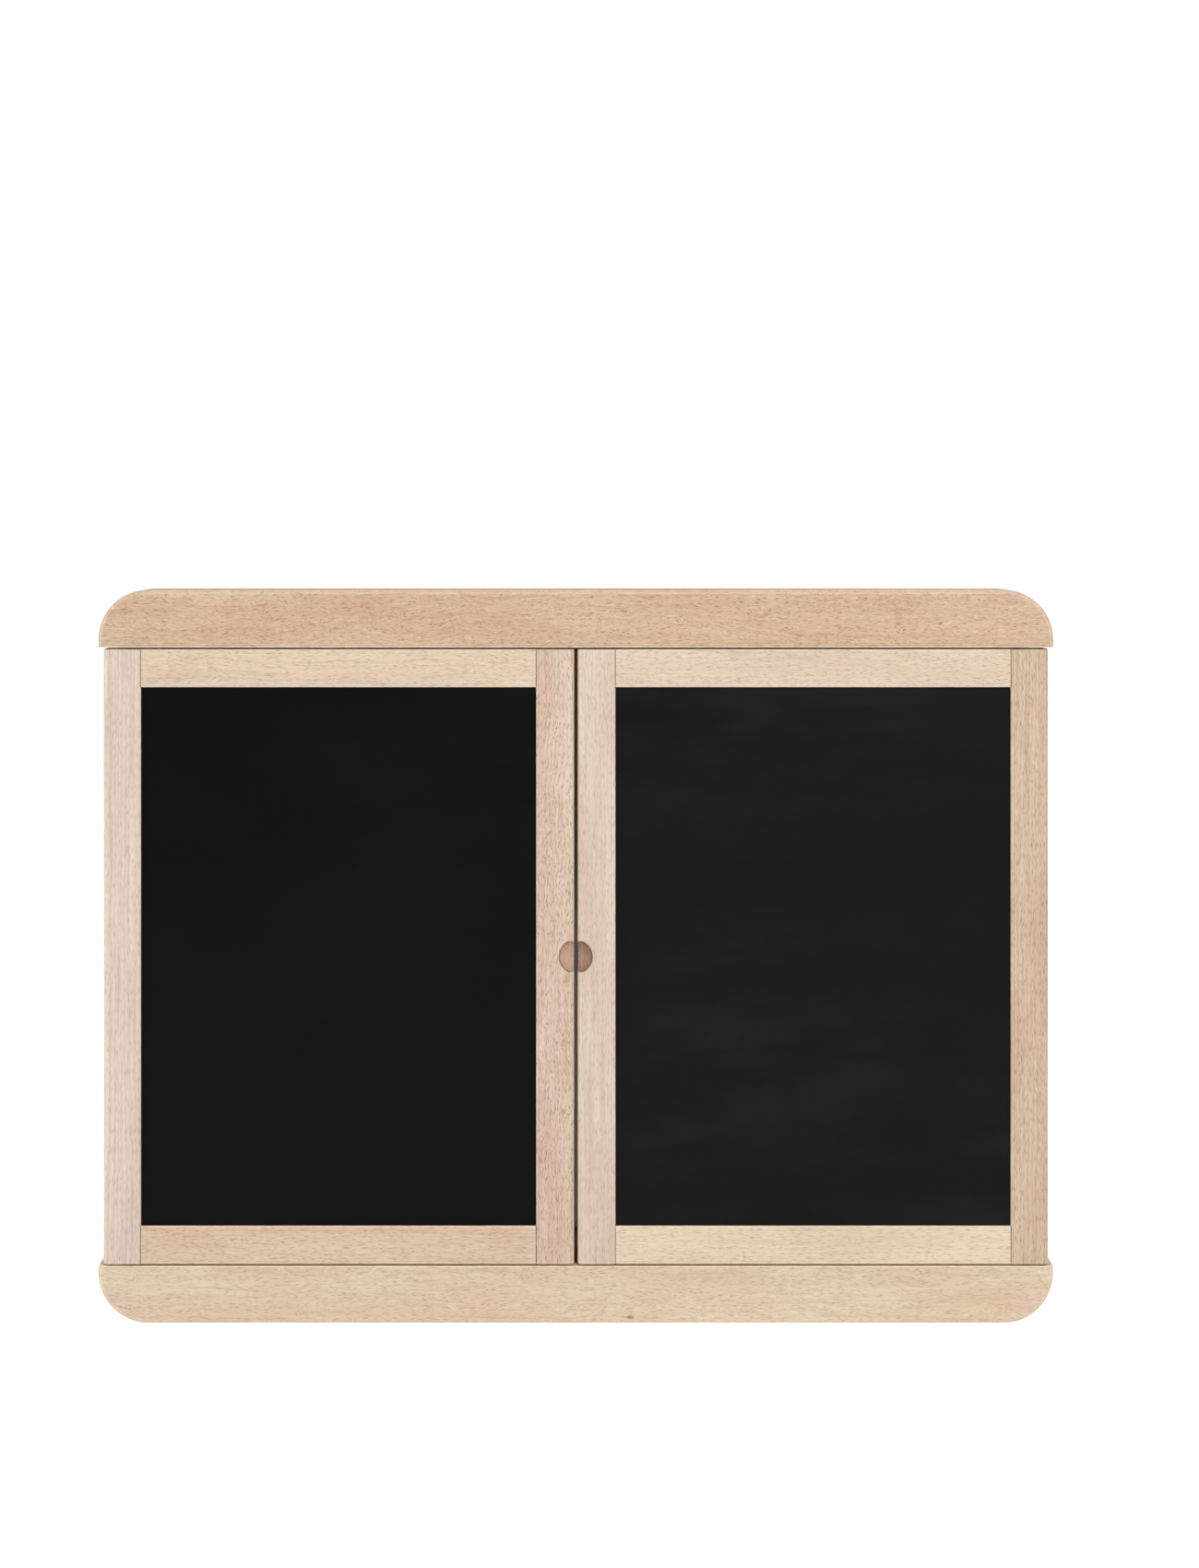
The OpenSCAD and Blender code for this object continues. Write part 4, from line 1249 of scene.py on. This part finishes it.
pin = size_of("pivot_pins")
fit("pivot_pins", rod_section(pin.x / 2, pin.z, 0.5 * MM), middles("pivot_pins", UP), zinc_plate)
washer = size_of("pivot_washers")
fit("pivot_washers", tube_section(washer.x / 2, pin.x / 2, washer.z, 0.2 * MM),
    middles("pivot_washers", UP), nylon, closed=True)
dowel = size_of("frame_dowels")
fit("frame_dowels", rod_section(dowel.x / 2, dowel.z, 0.8 * MM), middles("frame_dowels", UP),
    BEECHES["dowels"], flutes=12, flute=0.3 * MM, along=GRAIN_Z)
magnet = size_of("catch_magnets")
fit("catch_magnets", rod_section(magnet.x / 2, magnet.y, 0.3 * MM),
    middles("catch_magnets", -BACK), nickel_plate)
bumper = size_of("wall_bumpers")
fit("wall_bumpers", rod_section(bumper.x / 2, bumper.y, 0.7 * MM), middles("wall_bumpers", BACK),
    rubber)
RUNNING_FIT = 0.06 * MM
for side in ("left", "right"):
    bush = size_of(f"{side}_pivot_bushes")
    fit(f"{side}_pivot_bushes",
        tube_section(bush.x / 2, pin.x / 2 + RUNNING_FIT, bush.z, 0.3 * MM),
        middles(f"{side}_pivot_bushes", UP), nylon, closed=True)
    strike = size_of(f"{side}_strike_plates")
    fit(f"{side}_strike_plates", rod_section(strike.x / 2, strike.y, 0.2 * MM),
        middles(f"{side}_strike_plates", BACK), zinc_plate)
    peg = size_of(f"{side}_door_dowels")
    fit(f"{side}_door_dowels", rod_section(peg.y / 2, peg.x, 0.7 * MM),
        middles(f"{side}_door_dowels", ASIDE), BEECHES["dowels"], flutes=12, flute=0.25 * MM,
        along=GRAIN_X)

# %% [markdown]
# ## Wood screws
# A countersunk screw is a cone, a core and a thread, with a cross pressed into the head. The tree
# makes the thread by sweeping a small triangle along a spiral and cuts the cross with two bars.
# The thread stays inside the hole that the frame gives the screw.

# %% The wood screw tree
screw_tree, sizes, screw_done = tree_with("wood_screw", [
    ("Head Radius", "Float", 0.0028), ("Head Height", "Float", 0.0013),
    ("Core Radius", "Float", 0.0011), ("Thread Radius", "Float", 0.0015),
    ("Length", "Float", 0.027), ("Turns", "Float", 12.0), ("Cross Width", "Float", 0.0007),
    ("Cross Length", "Float", 0.0031), ("Cross Depth", "Float", 0.0009)])
t = screw_tree
head = add(t, "GeometryNodeMeshCone", {
    "Vertices": 40, "Radius Bottom": sizes["Head Radius"], "Radius Top": sizes["Core Radius"],
    "Depth": sizes["Head Height"]})
cross_bars = add(t, "GeometryNodeJoinGeometry")
deep = math_node(t, "MULTIPLY", sizes["Cross Depth"], 2.0)
for pair in (("Cross Length", "Cross Width"), ("Cross Width", "Cross Length")):
    size = add(t, "ShaderNodeCombineXYZ", {"X": sizes[pair[0]], "Y": sizes[pair[1]], "Z": deep})
    one_bar = add(t, "GeometryNodeMeshCube", {"Size": size})
    t.links.new(one_bar.outputs[0], cross_bars.inputs[0])
crossed = add(t, "GeometryNodeMeshBoolean", {"Mesh 1": head, "Self Intersection": True},
              operation="DIFFERENCE", solver="EXACT")
t.links.new(cross_bars.outputs[0], crossed.inputs["Mesh 2"])
shank_l = math_node(t, "SUBTRACT", sizes["Length"], sizes["Head Height"])
core = add(t, "GeometryNodeMeshCylinder", {
    "Vertices": 24, "Radius": sizes["Core Radius"], "Depth": shank_l})
core_z = math_node(t, "MULTIPLY_ADD", shank_l, 0.5, sizes["Head Height"])
core = add(t, "GeometryNodeTransform", {
    "Geometry": core, "Translation": add(t, "ShaderNodeCombineXYZ", {"Z": core_z})})
fin = math_node(t, "SUBTRACT", sizes["Thread Radius"], sizes["Core Radius"])
thread_l = math_node(t, "SUBTRACT", shank_l, math_node(t, "MULTIPLY", fin, 4.0))
spiral = add(t, "GeometryNodeCurveSpiral", {
    "Resolution": 20, "Rotations": sizes["Turns"], "Start Radius": sizes["Core Radius"],
    "End Radius": sizes["Core Radius"], "Height": thread_l})
tooth = add(t, "GeometryNodeCurvePrimitiveCircle", {"Resolution": 4, "Radius": fin})
thread = add(t, "GeometryNodeCurveToMesh", {
    "Curve": spiral, "Profile Curve": tooth.outputs[0], "Fill Caps": True})
thread_z = math_node(t, "MULTIPLY_ADD", fin, 2.0, sizes["Head Height"])
thread = add(t, "GeometryNodeTransform", {
    "Geometry": thread, "Translation": add(t, "ShaderNodeCombineXYZ", {"Z": thread_z})})
screw = add(t, "GeometryNodeJoinGeometry")
for part in (thread, core, crossed):
    t.links.new(part.outputs[0], screw.inputs[0])
real = add(t, "GeometryNodeRealizeInstances", {"Geometry": screw})
dressed = add(t, "GeometryNodeSetMaterial", {"Geometry": real, "Material": zinc_plate})
t.links.new(dressed.outputs[0], screw_done[0])
print("wood_screw nodes", len(t.nodes))

# %% [markdown]
# The screws' lengths come from the frame. The stop blocks' screws point away from the board's
# middle into the rails, and the hangers' screws point forward into the top rail.

# %% Screws in place
THREAD_PITCH, CORE_SHARE = 1.1 * MM, 0.78


def screws(node, direction_of, length_axis):
    """Sets a node's screws: direction_of(low, high) gives where each one points."""
    length = size_of(node)[length_axis]
    made = run_tree(screw_tree, bpy.data.meshes.new(node), node + "_maker", {
        "Head Radius": HEAD_R, "Head Height": HEAD_R - SHANK_R, "Thread Radius": SHANK_R,
        "Core Radius": SHANK_R * CORE_SHARE, "Length": length,
        "Turns": round(length / THREAD_PITCH)})
    pattern = bpy.data.objects.new(node + "_pattern", made)
    scene.collection.objects.link(pattern)
    pattern.hide_render = True
    patterns.append(pattern)
    places = []
    for low, high in solids_of(node):
        way = direction_of(low, high)
        middle = (low + high) / 2
        places.append((middle - way * length / 2, way))
    fittings[node] = set_out(node + "_set", pattern, places, zinc_plate, spin=math.pi, seed=11)


screws("stop_block_screws", lambda low, high: UP if low.z > middle_z else SIDE_DOWN, 2)
screws("hanger_screws", lambda low, high: -BACK, 1)
for pattern in patterns:
    bpy.data.objects.remove(pattern)

# %% [markdown]
# ## Hanger plates
# Each hanger is a pressed steel plate with a keyhole. Its outline and hole come from the frame,
# and its outer rim is eased so that it lies smooth in its recess.

# %% Hanger plates
PLATE_EDGE = 0.2 * MM


def pressed_plate(node):
    """A copy of a hanger from the frame with the edges of its outer face eased."""
    outer_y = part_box(node)[1].y
    bm = merged_copy(node)
    rim = [e for e in bm.edges if len(e.link_faces) == 2 and e.calc_face_angle(0) > EDGE_TURN
           and all(abs(v.co.y - outer_y) < SAME_POINT for v in e.verts)]
    bevel(bm, rim, PLATE_EDGE)
    print(node, "rim edges", len(rim), "faces", len(bm.faces))
    return as_object(bm, node + "_pressed", zinc_plate)


plates = {node: pressed_plate(node) for node in ("wall_hanger_left", "wall_hanger_right")}

# %% [markdown]
# ## Riding on the frame
# Every piece moves with one body of the frame and stands for one node of it. The doors' pieces
# ride on their door, and all the rest stays with the board.


made = {"top_rail": top_rail, "bottom_rail": bottom_rail, **members, **sheets, **fittings, **plates}
for node, piece in made.items():
    side = node.split("_")[0]
    body = f"{side}_door" if side in ("left", "right") else "board_frame"
    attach(piece, body)
    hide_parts(node)
left_over = sorted(set(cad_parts) - set(made))
print("pieces", len(made), "nodes without a piece", left_over)

# %% [markdown]
# ## Last measure
# The frame's box and the finished box are gathered side by side, and the finished size is printed.
# The finished looks may not change the object's size.

# %% Sizes and finish
new_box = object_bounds()
sizes = {"cad": [list(c) for c in cad_box], "visual": [list(c) for c in new_box]}
print("size", [round(c / MM, 2) for c in new_box[1] - new_box[0]], "mm")
